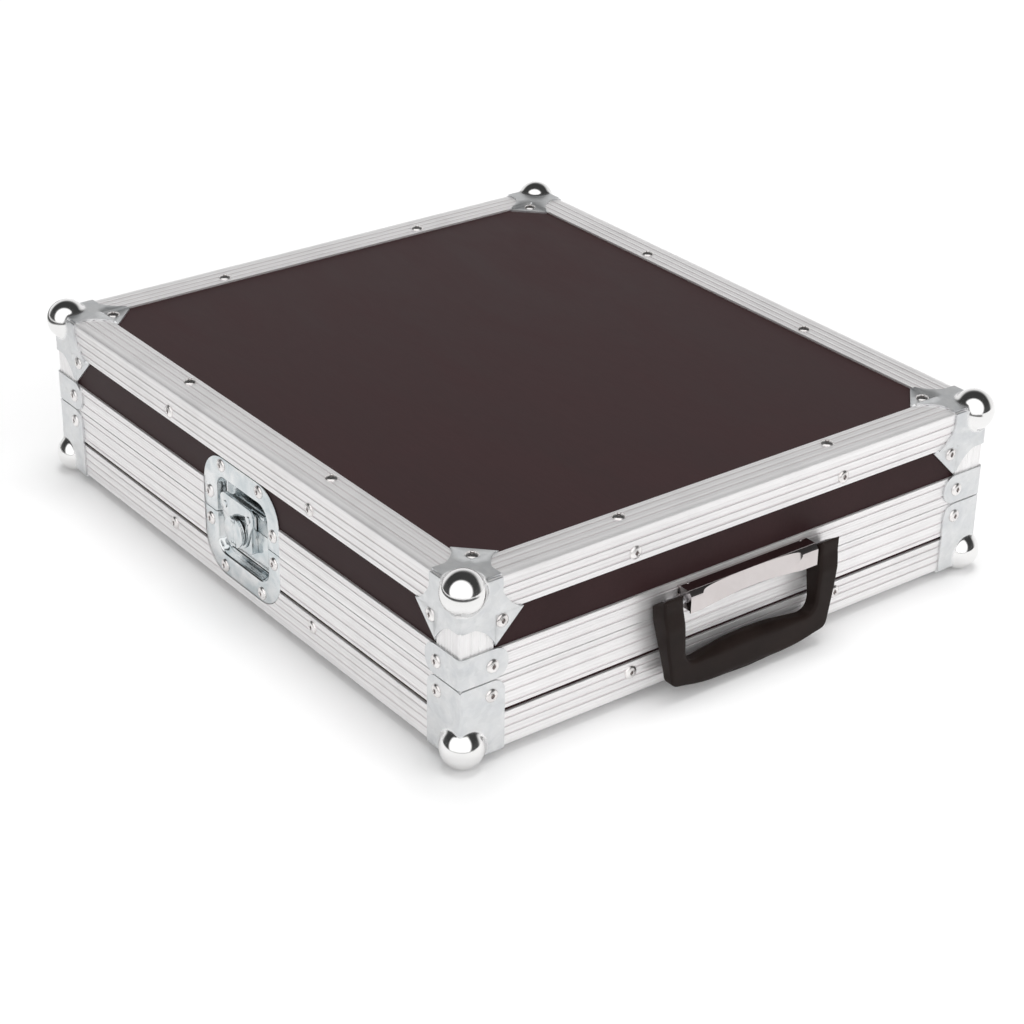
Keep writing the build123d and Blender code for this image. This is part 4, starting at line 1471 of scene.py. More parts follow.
    def assemble(
        self,
        name: str,
        corner: str,
        level: float,
        up: int,
        faces: Sequence[tuple[np.ndarray, list[tuple[int, ...]]]],
        ball: Point3 | None,
    ) -> bpy.types.Object:
        """Puts a corner's faces together where they belong and gives them a wall.

        Args:
            name: The new object's name.
            corner: Which corner of the case it is on.
            level: The height that c counts from.
            up: 1 where c counts upward, -1 where it counts downward.
            faces: The pressed faces.
            ball: The ball's centre, or None.

        Returns:
            The finished corner.
        """
        sx, sy = CORNERS[corner]
        origin = np.array([sx * CASE.width / 2, CASE.mid_y + sy * CASE.depth / 2, level])
        signs = np.array([-sx, -sy, up])
        points: list[np.ndarray] = []
        triangles: list[tuple[int, ...]] = []
        for local, faces_here in faces:
            start = sum(len(p) for p in points)
            world = origin + local * signs
            heart = origin + signs * self.deep
            for f in faces_here:
                a, b, c = (world[i] for i in f)
                middle = heart if ball is not None else np.array([heart[0], heart[1], a[2]])
                out = np.dot(np.cross(b - a, c - a), a - middle) > 0
                ring = f if out else tuple(reversed(f))
                triangles.append(tuple(start + i for i in ring))
            points.append(world)
        cloud = np.vstack(points)
        cloud[:, 2] = np.maximum(cloud[:, 2], 0.0)
        obj = piece_from(name, cloud.tolist(), triangles)
        tidy_mesh(obj, 0.02, recalculate=False)
        add_thickness(obj, CASE.plate)
        if ball is not None:
            centre = origin + np.array(ball) * signs
            co = np.array([v.co for v in obj.data.vertices]) / MM
            away = np.linalg.norm(co - centre, axis=1)
            value = np.clip((CASE.ball + 1.2 - away) / 1.0, 0, 1) * (away > CASE.ball - 0.4)
            data = obj.data.attributes.new("ball", "FLOAT", "POINT")
            data.data.foreach_set("value", value.astype(np.float32))
        soften(obj, 42.0)
        return obj

    def build_lid_corner(self, corner: str) -> None:
        """Makes one ball corner of the lid.

        Args:
            corner: Which corner of the case it is on.
        """
        ball = (CASE.ball_inset,) * 3
        dense = ((-CASE.plate, -CASE.plate), (21.0, 21.0))
        slits = {(0, 1, 2): (True, True), (1, 2, 0): (True, False), (2, 0, 1): (False, True)}
        faces = [
            self.face(self.lid_outline(*cut), axes, dense, ball, False, True) for axes, cut in slits.items()
        ]
        obj = self.assemble(f"lid_ball_corner_{corner}", corner, CASE.top, -1, faces, ball)
        place_piece(obj, self.finish, "lid", [f"lid_corner_{corner}"])

    def build_base_corner(self, corner: str) -> None:
        """Makes one tall corner of the base, with the ball that the case stands on.

        Args:
            corner: Which corner of the case it is on.
        """
        ball = (CASE.ball_inset, CASE.ball_inset, self.base_ball_up)
        p, leg = -CASE.plate, self.base_leg
        under = [(p, p), (leg, p), (leg, leg / 2), (leg / 2, leg), (p, leg)]
        dense = ((p, p), (21.0, 22.0))
        side = self.base_outline()
        faces = [self.face(side, axes, dense, ball, False, False) for axes in ((0, 2, 1), (1, 2, 0))]
        faces.append(self.face(under, (0, 1, 2), dense, ball, False, False))
        obj = self.assemble(f"base_ball_corner_{corner}", corner, CASE.bottom, 1, faces, ball)
        place_piece(obj, self.finish, "base", [f"base_corner_{corner}"])

    def build_brace(self, corner: str) -> None:
        """Makes the angle brace at the closure profile.

        Args:
            corner: Which corner of the case it is on.
        """
        outline = self.brace_outline()
        dense = ((-CASE.plate, self.brace_low), (13.0, self.brace_high))
        faces = [self.face(outline, axes, dense, None, True, False) for axes in ((0, 2, 1), (1, 2, 0))]
        obj = self.assemble(f"lid_angle_brace_{corner}", corner, CASE.bottom, 1, faces, None)
        place_piece(obj, self.finish, "lid", [f"lid_brace_{corner}"])

    def build(self) -> None:
        """Makes every corner piece."""
        for corner in CORNERS:
            self.build_lid_corner(corner)
            self.build_base_corner(corner)
            self.build_brace(corner)


# Rivets


@dataclass
class PopRivets:
    """The blind rivets: one domed head with its broken pin, set on every place by node tree."""

    head: bpy.types.Material
    pin: bpy.types.Material
    tree: Tree
    radius: float = 4.1
    height: float = 1.6
    hole: float = 1.25
    spread: float = 78.5
    flat_inset: float = 15.5
    tab_inset: float = 27.5
    foot_inset: float = 17.5
    brace: Point2 = (20.5, 61.2)
    tie: Point2 = (20.0, 42.8)
    tab_seat: float = -0.3
    dish_far: Point2 = (21.0, 34.0)
    dish_upper: Point2 = (35.5, 11.0)
    dish_lower: Point2 = (35.5, 7.5)
    handle: Point2 = (32.0, 62.0)
    turns: int = 26

    def template(self) -> bpy.types.Object:
        """Draws the rivet's head, with its pin's faces marked.

        Returns:
            The head.
        """
        r, h, b = self.radius, self.height, self.hole
        dome = [(r * math.cos(t), 0.25 + (h - 0.25) * math.sin(t)) for t in np.linspace(0.12, 1.2, 6)]
        lip = [(b + 0.16, h - 0.03), (b, h - 0.16), (b - 0.04, h - 0.75)]
        stub = [(b - 0.3, h - 0.78), (b - 0.36, h - 0.4), (b - 0.62, h - 0.26), (0.22, h - 0.33)]
        line = [(r, -0.25), (r + 0.02, 0.2)] + dome + lip + stub
        turn = [2 * math.pi * k / self.turns for k in range(self.turns)]
        points = [(p * math.cos(t), p * math.sin(t), q) for p, q in line for t in turn]
        n = self.turns
        faces = closed_rings(n, len(line))
        obj = piece_from("rivet_head", points, faces)
        tidy_mesh(obj)
        marks = obj.data.attributes.new("pin", "BOOLEAN", "FACE")
        inner = [math.hypot(*f.center[:2]) < (b - 0.03) * MM and f.center[2] > 0 for f in obj.data.polygons]
        marks.data.foreach_set("value", inner)
        soften(obj, 50.0)
        return obj

    def places(self, end: End) -> list[tuple[Vector, Vector]]:
        """Where the rivets of one half sit, and the way that each one faces.

        Args:
            end: The half.

        Returns:
            For each rivet its seat and its direction.
        """
        lid = end is End.LID
        spots: list[tuple[Vector, Vector]] = []
        flat = CASE.top if lid else CASE.bottom
        up = Vector((0, 0, end.up))
        x_line, y_line = CASE.width / 2 - self.flat_inset, CASE.depth / 2 - self.flat_inset
        for s in (-1, 1):
            for t in (-1, 1):
                spots.append((Vector((s * self.spread, CASE.mid_y + t * y_line, flat)), up))
                spots.append((Vector((s * x_line, CASE.mid_y + t * self.spread, flat)), up))
                inset = self.tab_inset if lid else self.foot_inset
                seat = self.tab_seat if lid else CASE.plate
                x, y = CASE.width / 2 - inset, CASE.depth / 2 - inset
                spots.append((Vector((s * x, CASE.mid_y + t * y, flat + end.up * seat)), up))
        for side in SIDES.values():
            half = side.length / 2
            on_side = [(self.spread, (CASE.top if lid else CASE.bottom) - end.up * self.flat_inset, 0.0)]
            inset, level = self.brace if lid else self.tie
            on_side.append((half - inset, level, CASE.plate))
            if lid:
                on_side.append((half - self.tab_inset, CASE.top - self.tab_inset, self.tab_seat))
                if side.name == "front":
                    on_side.append((*self.handle, CASE.plate))
            places = [(s * u, v, w) for u, v, w in on_side for s in (-1, 1)]
            if side.name in LATCH_MIDDLE:
                near = self.dish_upper if lid else self.dish_lower
                middle = LATCH_MIDDLE[side.name]
                for u, v in (self.dish_far, near):
                    places += [(middle + s * u, CASE.seam + end.up * v, self.tab_seat) for s in (-1, 1)]
            spots += [(side.at(u, v, w), Vector(side.outward)) for u, v, w in places]
        return spots

    def build(self) -> None:
        """Sets the rivets of both halves."""
        for end in End:
            source = self.template()
            spots = self.places(end)
            obj = piece_from(f"{end.value}_pop_rivets", [p for p, _ in spots], [])
            aim = obj.data.attributes.new("aim", "FLOAT_VECTOR", "POINT")
            aim.data.foreach_set("vector", [c for _, way in spots for c in way])
            values = {"Rivet": source, "Spin seed": 11, "Head": self.head, "Pin": self.pin}
            self.tree.run(obj, values)
            bpy.data.objects.remove(source)
            place_piece(obj, None, end.value, [f"{end.value}_rivets"])


# Latches


def even_ring(half_u: float, half_v: float, radius: float, corner: int, run: int) -> list[Point2]:
    """A rounded rectangle whose number of points doesn't depend on its size.

    Args:
        half_u: Half its width.
        half_v: Half its height.
        radius: Its corner radius.
        corner: How many runs each corner has.
        run: How many runs each straight part has.

    Returns:
        The outline's points, once round.
    """
    outline = rounded_rectangle(half_u, half_v, radius, corner)
    result: list[Point2] = []
    for k, (a, b) in enumerate(zip(outline, outline[1:] + outline[:1])):
        result.append(a)
        if k % (corner + 1) == corner:
            result += [
                (a[0] + (b[0] - a[0]) * j / run, a[1] + (b[1] - a[1]) * j / run) for j in range(1, run)
            ]
    return result


def ring_walls(count: int, rings: int, start: int = 0) -> list[tuple[int, ...]]:
    """The four-sided faces between rings of points that follow one another.

    Args:
        count: How many points each ring has.
        rings: How many rings there are.
        start: The first point's number.

    Returns:
        The faces.
    """
    return [
        (
            start + i * count + k,
            start + i * count + (k + 1) % count,
            start + (i + 1) * count + (k + 1) % count,
            start + (i + 1) * count + k,
        )
        for i in range(rings - 1)
        for k in range(count)
    ]


def closed_rings(count: int, rings: int) -> list[tuple[int, ...]]:
    """The faces of a closed shape through rings of points, with both ends capped."""
    last = (rings - 1) * count
    return ring_walls(count, rings) + [tuple(range(count)), tuple(range(last, last + count))]


@dataclass
class RecessedLatch:
    """A twist latch sunk in a pressed dish, which is split at the seam, with its working parts."""

    finish: bpy.types.Material
    half_u: float = 42.0
    half_v: float = 39.3
    dish_round: float = 22.0
    seat: float = -0.3
    split: float = 0.2
    mouth_u: float = 28.5
    mouth_v: float = 25.5
    mouth_round: float = 9.0
    lip: float = 1.5
    draft: float = 2.0
    floor: float = -7.0
    floor_round: float = 1.8
    sheet: float = 1.2
    keeper: tuple[float, float, float] = (19.0, 11.8, 14.4)
    keeper_face: float = -4.4

    def rings(self) -> list[tuple[float, float]]:
        """How far each ring of the pan is outside its mouth, and its depth.

        Returns:
            One pair for each ring, from the mouth down.
        """
        line = [
            (self.lip * (1 - math.sin(t)), self.seat - self.lip * (1 - math.cos(t)))
            for t in np.linspace(0, math.pi / 2, 7)
        ]
        low = self.floor + self.floor_round
        line += [(-self.draft * 0.4, (line[-1][1] + low) / 2), (-self.draft * 0.8, low)]
        for t in np.linspace(0.3, math.pi / 2, 5):
            side = -self.draft * 0.8 - self.floor_round * (1 - math.cos(t))
            line.append((side, low - self.floor_round * math.sin(t)))
        return line

    def shell(self, side: Side) -> bpy.types.Object:
        """Draws the whole dish's outer surface, facing outward.

        Args:
            side: The side that it is on.

        Returns:
            The open surface.
        """
        middle = LATCH_MIDDLE[side.name]
        points: list[Vector] = []
        faces: list[tuple[int, ...]] = []
        line = self.rings()
        levels = []
        for grow, w in line:
            ring = even_ring(self.mouth_u + grow, self.mouth_v + grow, self.mouth_round + grow, 9, 8)
            levels.append(ring)
            points += [side.at(middle + u, CASE.seam + v, w) for u, v in ring]
        count = len(levels[0])
        faces += ring_walls(count, len(line))
        outline = divided(rounded_rectangle(self.half_u, self.half_v, self.dish_round, 16), 4.0)
        flat, triangles = filled(outline, holes=[levels[0]])
        start = len(points)
        points += [side.at(middle + u, CASE.seam + v, self.seat) for u, v in flat]
        faces += [tuple(start + i for i in f) for f in triangles]
        flat, triangles = filled(levels[-1])
        start = len(points)
        points += [side.at(middle + u, CASE.seam + v, line[-1][1]) for u, v in flat]
        faces += [tuple(start + i for i in f) for f in triangles]
        obj = piece_from("dish", points, faces)
        bm = bmesh.new()
        bm.from_mesh(obj.data)
        bmesh.ops.remove_doubles(bm, verts=bm.verts, dist=0.005 * MM)
        bmesh.ops.recalc_face_normals(bm, faces=bm.faces)
        out = Vector(side.outward)
        if sum(f.normal.dot(out) * f.calc_area() for f in bm.faces) < 0:
            bmesh.ops.reverse_faces(bm, faces=bm.faces)
        bm.to_mesh(obj.data)
        bm.free()
        return obj

    def half(self, side: Side, end: End) -> bpy.types.Object:
        """Cuts the dish at the seam and keeps one half of it.

        Args:
            side: The side that the latch is on.
            end: The half of the case that this half dish is fixed to.

        Returns:
            The half dish, with its wall.
        """
        obj = self.shell(side)
        bm = bmesh.new()
        bm.from_mesh(obj.data)
        cut = Vector((0, 0, (CASE.seam + end.up * self.split) * MM))
        geometry = bm.verts[:] + bm.edges[:] + bm.faces[:]
        bmesh.ops.bisect_plane(bm, geom=geometry, plane_co=cut, plane_no=(0, 0, -end.up), clear_outer=True)
        bm.to_mesh(obj.data)
        bm.free()
        add_thickness(obj, self.sheet)
        round_edges(obj, 0.18, 2, 60.0)
        soften(obj, 40.0)
        return obj

    def strip(self, side: Side) -> bpy.types.Object:
        """Draws the keeper that the claw pulls on.

        Args:
            side: The side that it is on.

        Returns:
            The keeper.
        """
        middle = LATCH_MIDDLE[side.name]
        half, low, high = self.keeper
        rise = (high - low) / 2
        outline = rounded_rectangle(half, rise, 1.0, 5)
        points = [
            side.at(middle + u, CASE.seam + (low + high) / 2 + v, w)
            for w in (self.floor - 0.5, self.keeper_face)
            for u, v in outline
        ]
        count = len(outline)
        faces = closed_rings(count, 2)
        obj = piece_from("keeper", points, faces)
        tidy_mesh(obj)
        round_edges(obj, 0.5, 3, 50.0)
        soften(obj, 40.0)
        return obj

    def build(self, side: Side, nodes: dict[str, bpy.types.Object]) -> None:
        """Makes one latch.

        Args:
            side: The side that it is on.
            nodes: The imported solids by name.
        """
        name = side.name
        upper = join_pieces(f"latch_upper_dish_{name}", [self.half(side, End.LID), self.strip(side)])
        place_piece(upper, self.finish, "lid", [f"latch_dish_upper_{name}"])
        lower = self.half(side, End.BASE)
        lower.name = f"latch_lower_dish_{name}"
        place_piece(lower, self.finish, "base", [f"latch_dish_lower_{name}"])
        working = {
            f"latch_frame_{name}": ("base", 0.45),
            f"latch_claw_{name}": (f"claw_{name}", 0.3),
            f"latch_spindle_{name}": (f"key_{name}", 0.3),
            f"latch_wing_front_{name}": (f"wing_front_{name}", 0.35),
            f"latch_wing_back_{name}": (f"wing_back_{name}", 0.35),
        }
        for node, (body, edge) in working.items():
            copy = dressed_copy(nodes[node], f"{node}_dressed", edge)
            place_piece(copy, self.finish, body, [node])


# Handle


@dataclass
class BracketHandle:
    """A nickel-plated bracket over a rod, and the moulded grip that swings on it."""

    nickel: bpy.types.Material
    plastic: bpy.types.Material
    span: Point2 = (-46.8, 50.0)
    low: float = 54.8
    high: float = 68.0
    shelf: float = 8.5
    roll: float = 4.2
    sheet: float = 0.95
    flat_half: float = 37.5
    flat_distance: float = 2.1
    flat_lean: float = 14.0
    scoop: float = 2.8
    scoop_half: float = 38.0
    cheek: Point2 = (44.0, 46.0)
    belly: float = 3.4
    ear_low: float = 61.5
    ear_high: float = 68.5
    ear_front: float = 13.2
    sill_edge: float = 6.4
    inner_edge: float = 2.2
    outer_edge: float = 1.5

    def section(self, x: float) -> list[Point2]:
        """The bracket's outer line at one place along it, as distance out and height.

        The front has a thumb flat pressed in it: a plane that leans back. It cuts deepest in the
        middle and moves outward to both ends, where it only touches the roll.

        Args:
            x: The place, from the bracket's middle.

        Returns:
            The line from the back of the shelf to the front lip's edge.
        """
        cx, cy, r = self.shelf, self.high - self.roll, self.roll
        depth = math.sqrt(max(0.0, 1 - (x / self.flat_half) ** 2))
        distance = r - depth * (r - self.flat_distance)
        lean = math.radians(self.flat_lean)
        crease = math.degrees(lean + math.acos(distance / r))
        foot = self.low + self.scoop * max(0.0, 1 - (x / self.scoop_half) ** 2)
        base = max(foot + 0.3, cy + (distance - r * math.cos(lean)) / math.sin(lean))
        path = [(0.0, self.low), (0.0, self.high - 1.0), (0.3, self.high - 0.3), (1.0, self.high)]
        path += [(float(w), self.high) for w in np.linspace(1.8, cx, 8)[:-1]]
        path += arc((cx, cy), r, 90, crease, 14)
        top = path[-1][1]
        for v in [*np.linspace(top, base, 14)[1:], *np.linspace(base, foot, 6)[1:]]:
            flat = cx + (distance - (v - cy) * math.sin(lean)) / math.cos(lean)
            path.append((min(cx + r, flat), float(v)))
        return path

    def cover(self) -> bpy.types.Object:
        """Draws the bent cover, with the flattened crown that tapers out at both ends.

        Returns:
            The cover.
        """
        front = SIDES["front"]
        places = [float(x) for x in np.linspace(*self.span, 145)]
        lines = [self.section(x) for x in places]
        count = len(lines[0])
        points = [front.at(x, v, w) for x, line in zip(places, lines) for w, v in line]
        faces = [
            (i * count + k, (i + 1) * count + k, (i + 1) * count + k + 1, i * count + k + 1)
            for i in range(len(places) - 1)
            for k in range(count - 1)
        ]
        obj = piece_from("cover", points, faces)
        tidy_mesh(obj, 0.002, recalculate=False)
        if sum(f.normal.z * f.area for f in obj.data.polygons) < 0:
            obj.data.flip_normals()
        add_thickness(obj, self.sheet)
        round_edges(obj, 0.2, 2, 75.0)
        soften(obj, 16.0)
        return obj

    def cheeks(self) -> list[bpy.types.Object]:
        """Draws the two plates that hold the rod.

        Returns:
            The plates.
        """
        front = SIDES["front"]
        r = self.roll - 0.3
        cx, cy = self.shelf, self.high - self.roll
        foot = self.low + 0.2
        outline = [(0.4, foot), (cx + r, foot)] + arc((cx, cy), r, 0, 90, 10) + [(0.4, cy + r)]
        plates = []
        for sign in (-1, 1):
            near, far = (sign * c for c in self.cheek)
            points = [front.at(x, v, w) for x in (near, far) for w, v in outline]
            count = len(outline)
            faces = closed_rings(count, 2)
            plate = piece_from("cheek", points, faces)
            tidy_mesh(plate)
            round_edges(plate, 0.25, 2, 50.0)
            soften(plate, 40.0)
            plates.append(plate)
        return plates

    def pips(self) -> list[bpy.types.Object]:
        """Draws the two small weld marks on the shelf's back.

        Returns:
            The marks.
        """
        front = SIDES["front"]
        marks = []
        for x in (-41.0, 45.0):
            line = [(0.95 * math.cos(t), -0.1 + 0.5 * math.sin(t)) for t in np.linspace(0, 1.35, 5)]
            turns = [2 * math.pi * k / 14 for k in range(14)]
            points = [
                front.at(x + p * math.cos(t), self.high + q, 2.4 + p * math.sin(t))
                for p, q in line
                for t in turns
            ]
            mark = piece_from("pip", points, closed_rings(len(turns), len(line)))
            tidy_mesh(mark)
            soften(mark, 60.0)
            marks.append(mark)
        return marks

    def thickness(self, z: np.ndarray) -> tuple[np.ndarray, np.ndarray]:
        """How far the grip's back and front are out from the case at each height.

        The top is cut on a slant, highest at the front, and the toe is rounded more behind than before.

        Args:
            z: The heights.

        Returns:
            The back's and the front's distances.
        """
        heights = [18.0, 32.0, 52.0, self.ear_low, self.ear_high + 0.2]
        back = np.interp(z, heights, [6.6, 5.4, 1.6, 1.5, self.ear_front])
        front = np.interp(z, [50.0, 60.0], [15.0, self.ear_front])
        for radius, sign in ((5.0, 1), (3.5, -1)):
            low = np.clip(self.belly + 2.0 + radius - z, 0, radius)
            drop = radius - np.sqrt(np.clip(radius * radius - low * low, 0, None))
            if sign > 0:
                back = back + 0.6 * drop
            else:
                front = front - 0.6 * drop
        return np.minimum(back, front - 0.8), front

    def outline(self) -> tuple[list[Point2], list[float]]:
        """The grip from the front, with the rounding of its front rim at each point.

        Returns:
            The outline once round, and at each point how far the front is rounded over.
        """
        sill = [(0.0, 27.4), (14.0, 27.0), (28.0, 25.4)]
        inner = [(28.0, 25.4), (49.4, 22.0), (50.6, 44.0), (52.6, 68.5)]
        outer = [(66.6, 68.5), (66.3, 57.0), (64.2, 38.0), (60.9, 20.0), (59.3, 11.0), (50.0, 9.3)]
        under = [(50.0, 9.3), (36.0, 6.3), (20.0, 4.2), (0.0, self.belly)]
        right = rounded_path(sill, 6.0, 5)[:-1]
        rims = [self.sill_edge] * len(right)
        right += rounded_path(inner[:3], 11.0, 12)[1:-1] + rounded_path(inner[1:], 8.0, 5)[2:]
        rims += [self.inner_edge] * (len(right) - len(rims))
        right += rounded_path([(60.0, 68.5), *outer[:3]], 0.9, 3)[1:-1]
        right += rounded_path(outer[1:5], 8.0, 4)[2:-1] + rounded_path(outer[3:], 4.6, 7)[1:-1]
        right += rounded_path(under, 8.0, 5)
        rims += [self.outer_edge] * (len(right) - len(rims))
        left = [(-u, v) for u, v in reversed(right)]
        return right[:-1] + left[:-1], rims[:-1] + rims[::-1][:-1]

    def grip(self) -> bpy.types.Object:
        """Draws the grip: its outline rounded over to a front and a back face.

        Returns:
            The grip.
        """
        front = SIDES["front"]
        closed, rims = self.outline()
        closed.append(closed[0])
        rims.append(rims[0])
        p = np.array(closed)
        gone = np.concatenate([[0.0], np.cumsum(np.hypot(*(p[1:] - p[:-1]).T))])
        at = np.linspace(0, gone[-1], round(gone[-1] / 1.0) + 1)[:-1]
        line = np.stack([np.interp(at, gone, p[:, 0]), np.interp(at, gone, p[:, 1])], axis=1)
        rim = np.interp(at, gone, rims)
        for _ in range(24):
            rim = (np.roll(rim, 1) + rim + np.roll(rim, -1)) / 3
        along = np.roll(line, -1, axis=0) - np.roll(line, 1, axis=0)
        normal = np.stack([along[:, 1], -along[:, 0]], axis=1) / np.hypot(*along.T)[:, None]
        area = np.sum(line[:, 0] * np.roll(line[:, 1], -1) - np.roll(line[:, 0], -1) * line[:, 1])
        inward = -normal if area > 0 else normal
        count = len(line)
        points: list[Vector] = []
        faces: list[tuple[int, ...]] = []
        firsts = []
        for face in (1, -1):
            firsts.append(len(points))
            ring = line
            for t in np.linspace(0, math.pi / 2, 9):
                turn = rim if face > 0 else np.full(count, self.outer_edge)
                ring = line + inward * (turn * (1 - math.cos(t)))[:, None]
                back, fore = self.thickness(ring[:, 1])
                bend = np.minimum(turn, (0.72 if face > 0 else 0.26) * (fore - back)) * (1 - math.sin(t))
                ws = fore - bend if face > 0 else back + bend
                points += [front.at(u, v, w) for (u, v), w in zip(ring, ws)]
            faces += ring_walls(count, 9, firsts[-1])
            last = [(float(u), float(v)) for u, v in ring]
            flat, triangles = filled(last, inside(last, grid((-66.0, 4.0), (66.0, 68.0), 2.0), 0.8))
            back, fore = self.thickness(np.array([v for _, v in flat]))
            start = len(points)
            points += [front.at(u, v, w) for (u, v), w in zip(flat, fore if face > 0 else back)]
            faces += [tuple(start + i for i in f) for f in triangles]
        a, b = firsts
        faces += [(a + k, a + (k + 1) % count, b + (k + 1) % count, b + k) for k in range(count)]
        obj = piece_from("swing_grip", points, faces)
        tidy_mesh(obj, 0.02)
        soften(obj, 40.0)
        return obj

    def build(self) -> None:
        """Makes the bracket and the grip."""
        bracket = join_pieces("nickel_bracket", [self.cover(), *self.cheeks(), *self.pips()])
        place_piece(bracket, self.nickel, "lid", ["handle_bracket"])
        place_piece(self.grip(), self.plastic, "handle", ["handle_grip"])


# Foam


@dataclass
class CutFoam:
    """The liner with its well, and the waved pad under the lid."""

    finish: bpy.types.Material
    half_x: float = 186.6
    half_y: float = 213.6
    low: float = 14.9
    high: float = 50.0
    wall: float = 22.0
    floor: float = 24.9
    well_round: float = 12.0
    pad_low: float = 90.1
    pad_high: float = 105.1
    wave: float = 6.0
    pitch: float = 28.0

    def soft_line(self, x: float, y: float, z: float) -> Vector:
        """Lets a cut face wander by a few tenths of a millimetre."""
        swell = 0.35 * math.sin(x / 31.0 + y / 23.0) + 0.25 * math.sin(x / 17.0 - y / 41.0 + z / 9.0)
        return Vector((x + 0.5 * swell, y + 0.4 * swell, z + 0.6 * swell))

    def liner(self) -> bpy.types.Object:
        """Draws the liner: rounded rims outside and in, and a soft well.

        Returns:
            The liner.
        """
        in_x, in_y, r = self.half_x - self.wall, self.half_y - self.wall, 2.4
        turn = np.linspace(0, math.pi / 2, 5)
        line = [(-1.0, self.low, 0), (0.0, self.low + 1.0, 0), (0.0, self.high - r, 0)]
        line += [(-r * (1 - math.cos(t)), self.high - r + r * math.sin(t), 0) for t in turn[1:]]
        line += [(r * (1 - math.sin(t)), self.high - r * (1 - math.cos(t)), 1) for t in turn]
        line += [(0.0, z, 1) for z in (44.0, 38.0, 32.0, self.floor + r)]
        line += [(-r * (1 - math.cos(t)), self.floor + r * (1 - math.sin(t)), 1) for t in turn[1:]]
        points: list[Vector] = []
        for grow, z, inner in line:
            half = (in_x, in_y, self.well_round) if inner else (self.half_x - 0.6, self.half_y - 0.6, 3.0)
            ring = even_ring(half[0] + grow, half[1] + grow, max(half[2] + grow, 0.4), 6, 16)
            points += [self.soft_line(u, v, z) + Vector((0, CASE.mid_y, 0)) for u, v in ring]
        count = len(ring)
        faces = ring_walls(count, len(line)) + [tuple(range(count))]
        flat, triangles = filled(ring, inside(ring, grid((-160, -190), (160, 190), 16.0), 4.0))
        start = len(points)
        points += [self.soft_line(u, v, self.floor) + Vector((0, CASE.mid_y, 0)) for u, v in flat]
        faces += [tuple(start + i for i in f) for f in triangles]
        obj = piece_from("foam_liner", points, faces)
        tidy_mesh(obj, 0.05)
        soften(obj, 50.0)
        return obj

    def pad(self) -> bpy.types.Object:
        """Draws the lid's pad, waved on the side that meets what lies in the case.

        Returns:
            The pad.
        """
        xs = np.linspace(-self.half_x + 0.6, self.half_x - 0.6, 95)
        ys = np.linspace(-self.half_y + 0.6, self.half_y - 0.6, 109)
        points: list[Point3] = []
        for upper in (False, True):
            for x in xs:
                for y in ys:
                    edge = min(self.half_x - abs(x), self.half_y - abs(y))
                    fade = min(1.0, max(0.0, (edge - 3.0) / 12.0))
                    crest = math.cos(2 * math.pi * x / self.pitch) * math.cos(2 * math.pi * y / self.pitch)
                    rise = self.wave * (0.5 + 0.5 * crest) * fade
                    z = self.pad_high if upper else self.pad_low + rise + 2.2 * max(0.0, 1 - edge / 4.0) ** 2
                    points.append((float(x), float(y) + CASE.mid_y, z))
        nx, ny = len(xs), len(ys)
        faces: list[tuple[int, ...]] = []
        for layer in (0, nx * ny):
            for i in range(nx - 1):
                for j in range(ny - 1):
                    a = layer + i * ny + j
                    faces.append((a, a + ny, a + ny + 1, a + 1))
        rim = [i * ny for i in range(nx)] + [(nx - 1) * ny + j for j in range(1, ny)]
        rim += [i * ny + ny - 1 for i in range(nx - 2, -1, -1)] + list(range(ny - 2, 0, -1))
        faces += [(a, b, b + nx * ny, a + nx * ny) for a, b in zip(rim, rim[1:] + rim[:1])]
        obj = piece_from("foam_lid_pad", points, faces)
        tidy_mesh(obj)
        soften(obj, 60.0)
        return obj

    def build(self) -> None:
        for piece, body, node in ((self.liner(), "base", "base_foam"), (self.pad(), "lid", "lid_foam")):
            place_piece(piece, self.finish, body, [node])


# Boards and rod, carried over as they are


@dataclass
class CarriedOver:
    """The solids whose shapes are already right and that only take a finish."""

    board: bpy.types.Material
    rod: bpy.types.Material

    def build(self, nodes: dict[str, bpy.types.Object]) -> None:
        """Gives the boards and the rod their finishes.

        Args:
            nodes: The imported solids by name.
        """
        for name, node in nodes.items():
            finish = self.board if "_wall_" in name or name.endswith("_panel") else None
            finish = self.rod if name == "handle_bar" else finish
            if finish is None:
                continue
            for slot in node.material_slots:
                slot.material = finish
            LOG.info("%s takes %s", name, finish.name)


# Studio


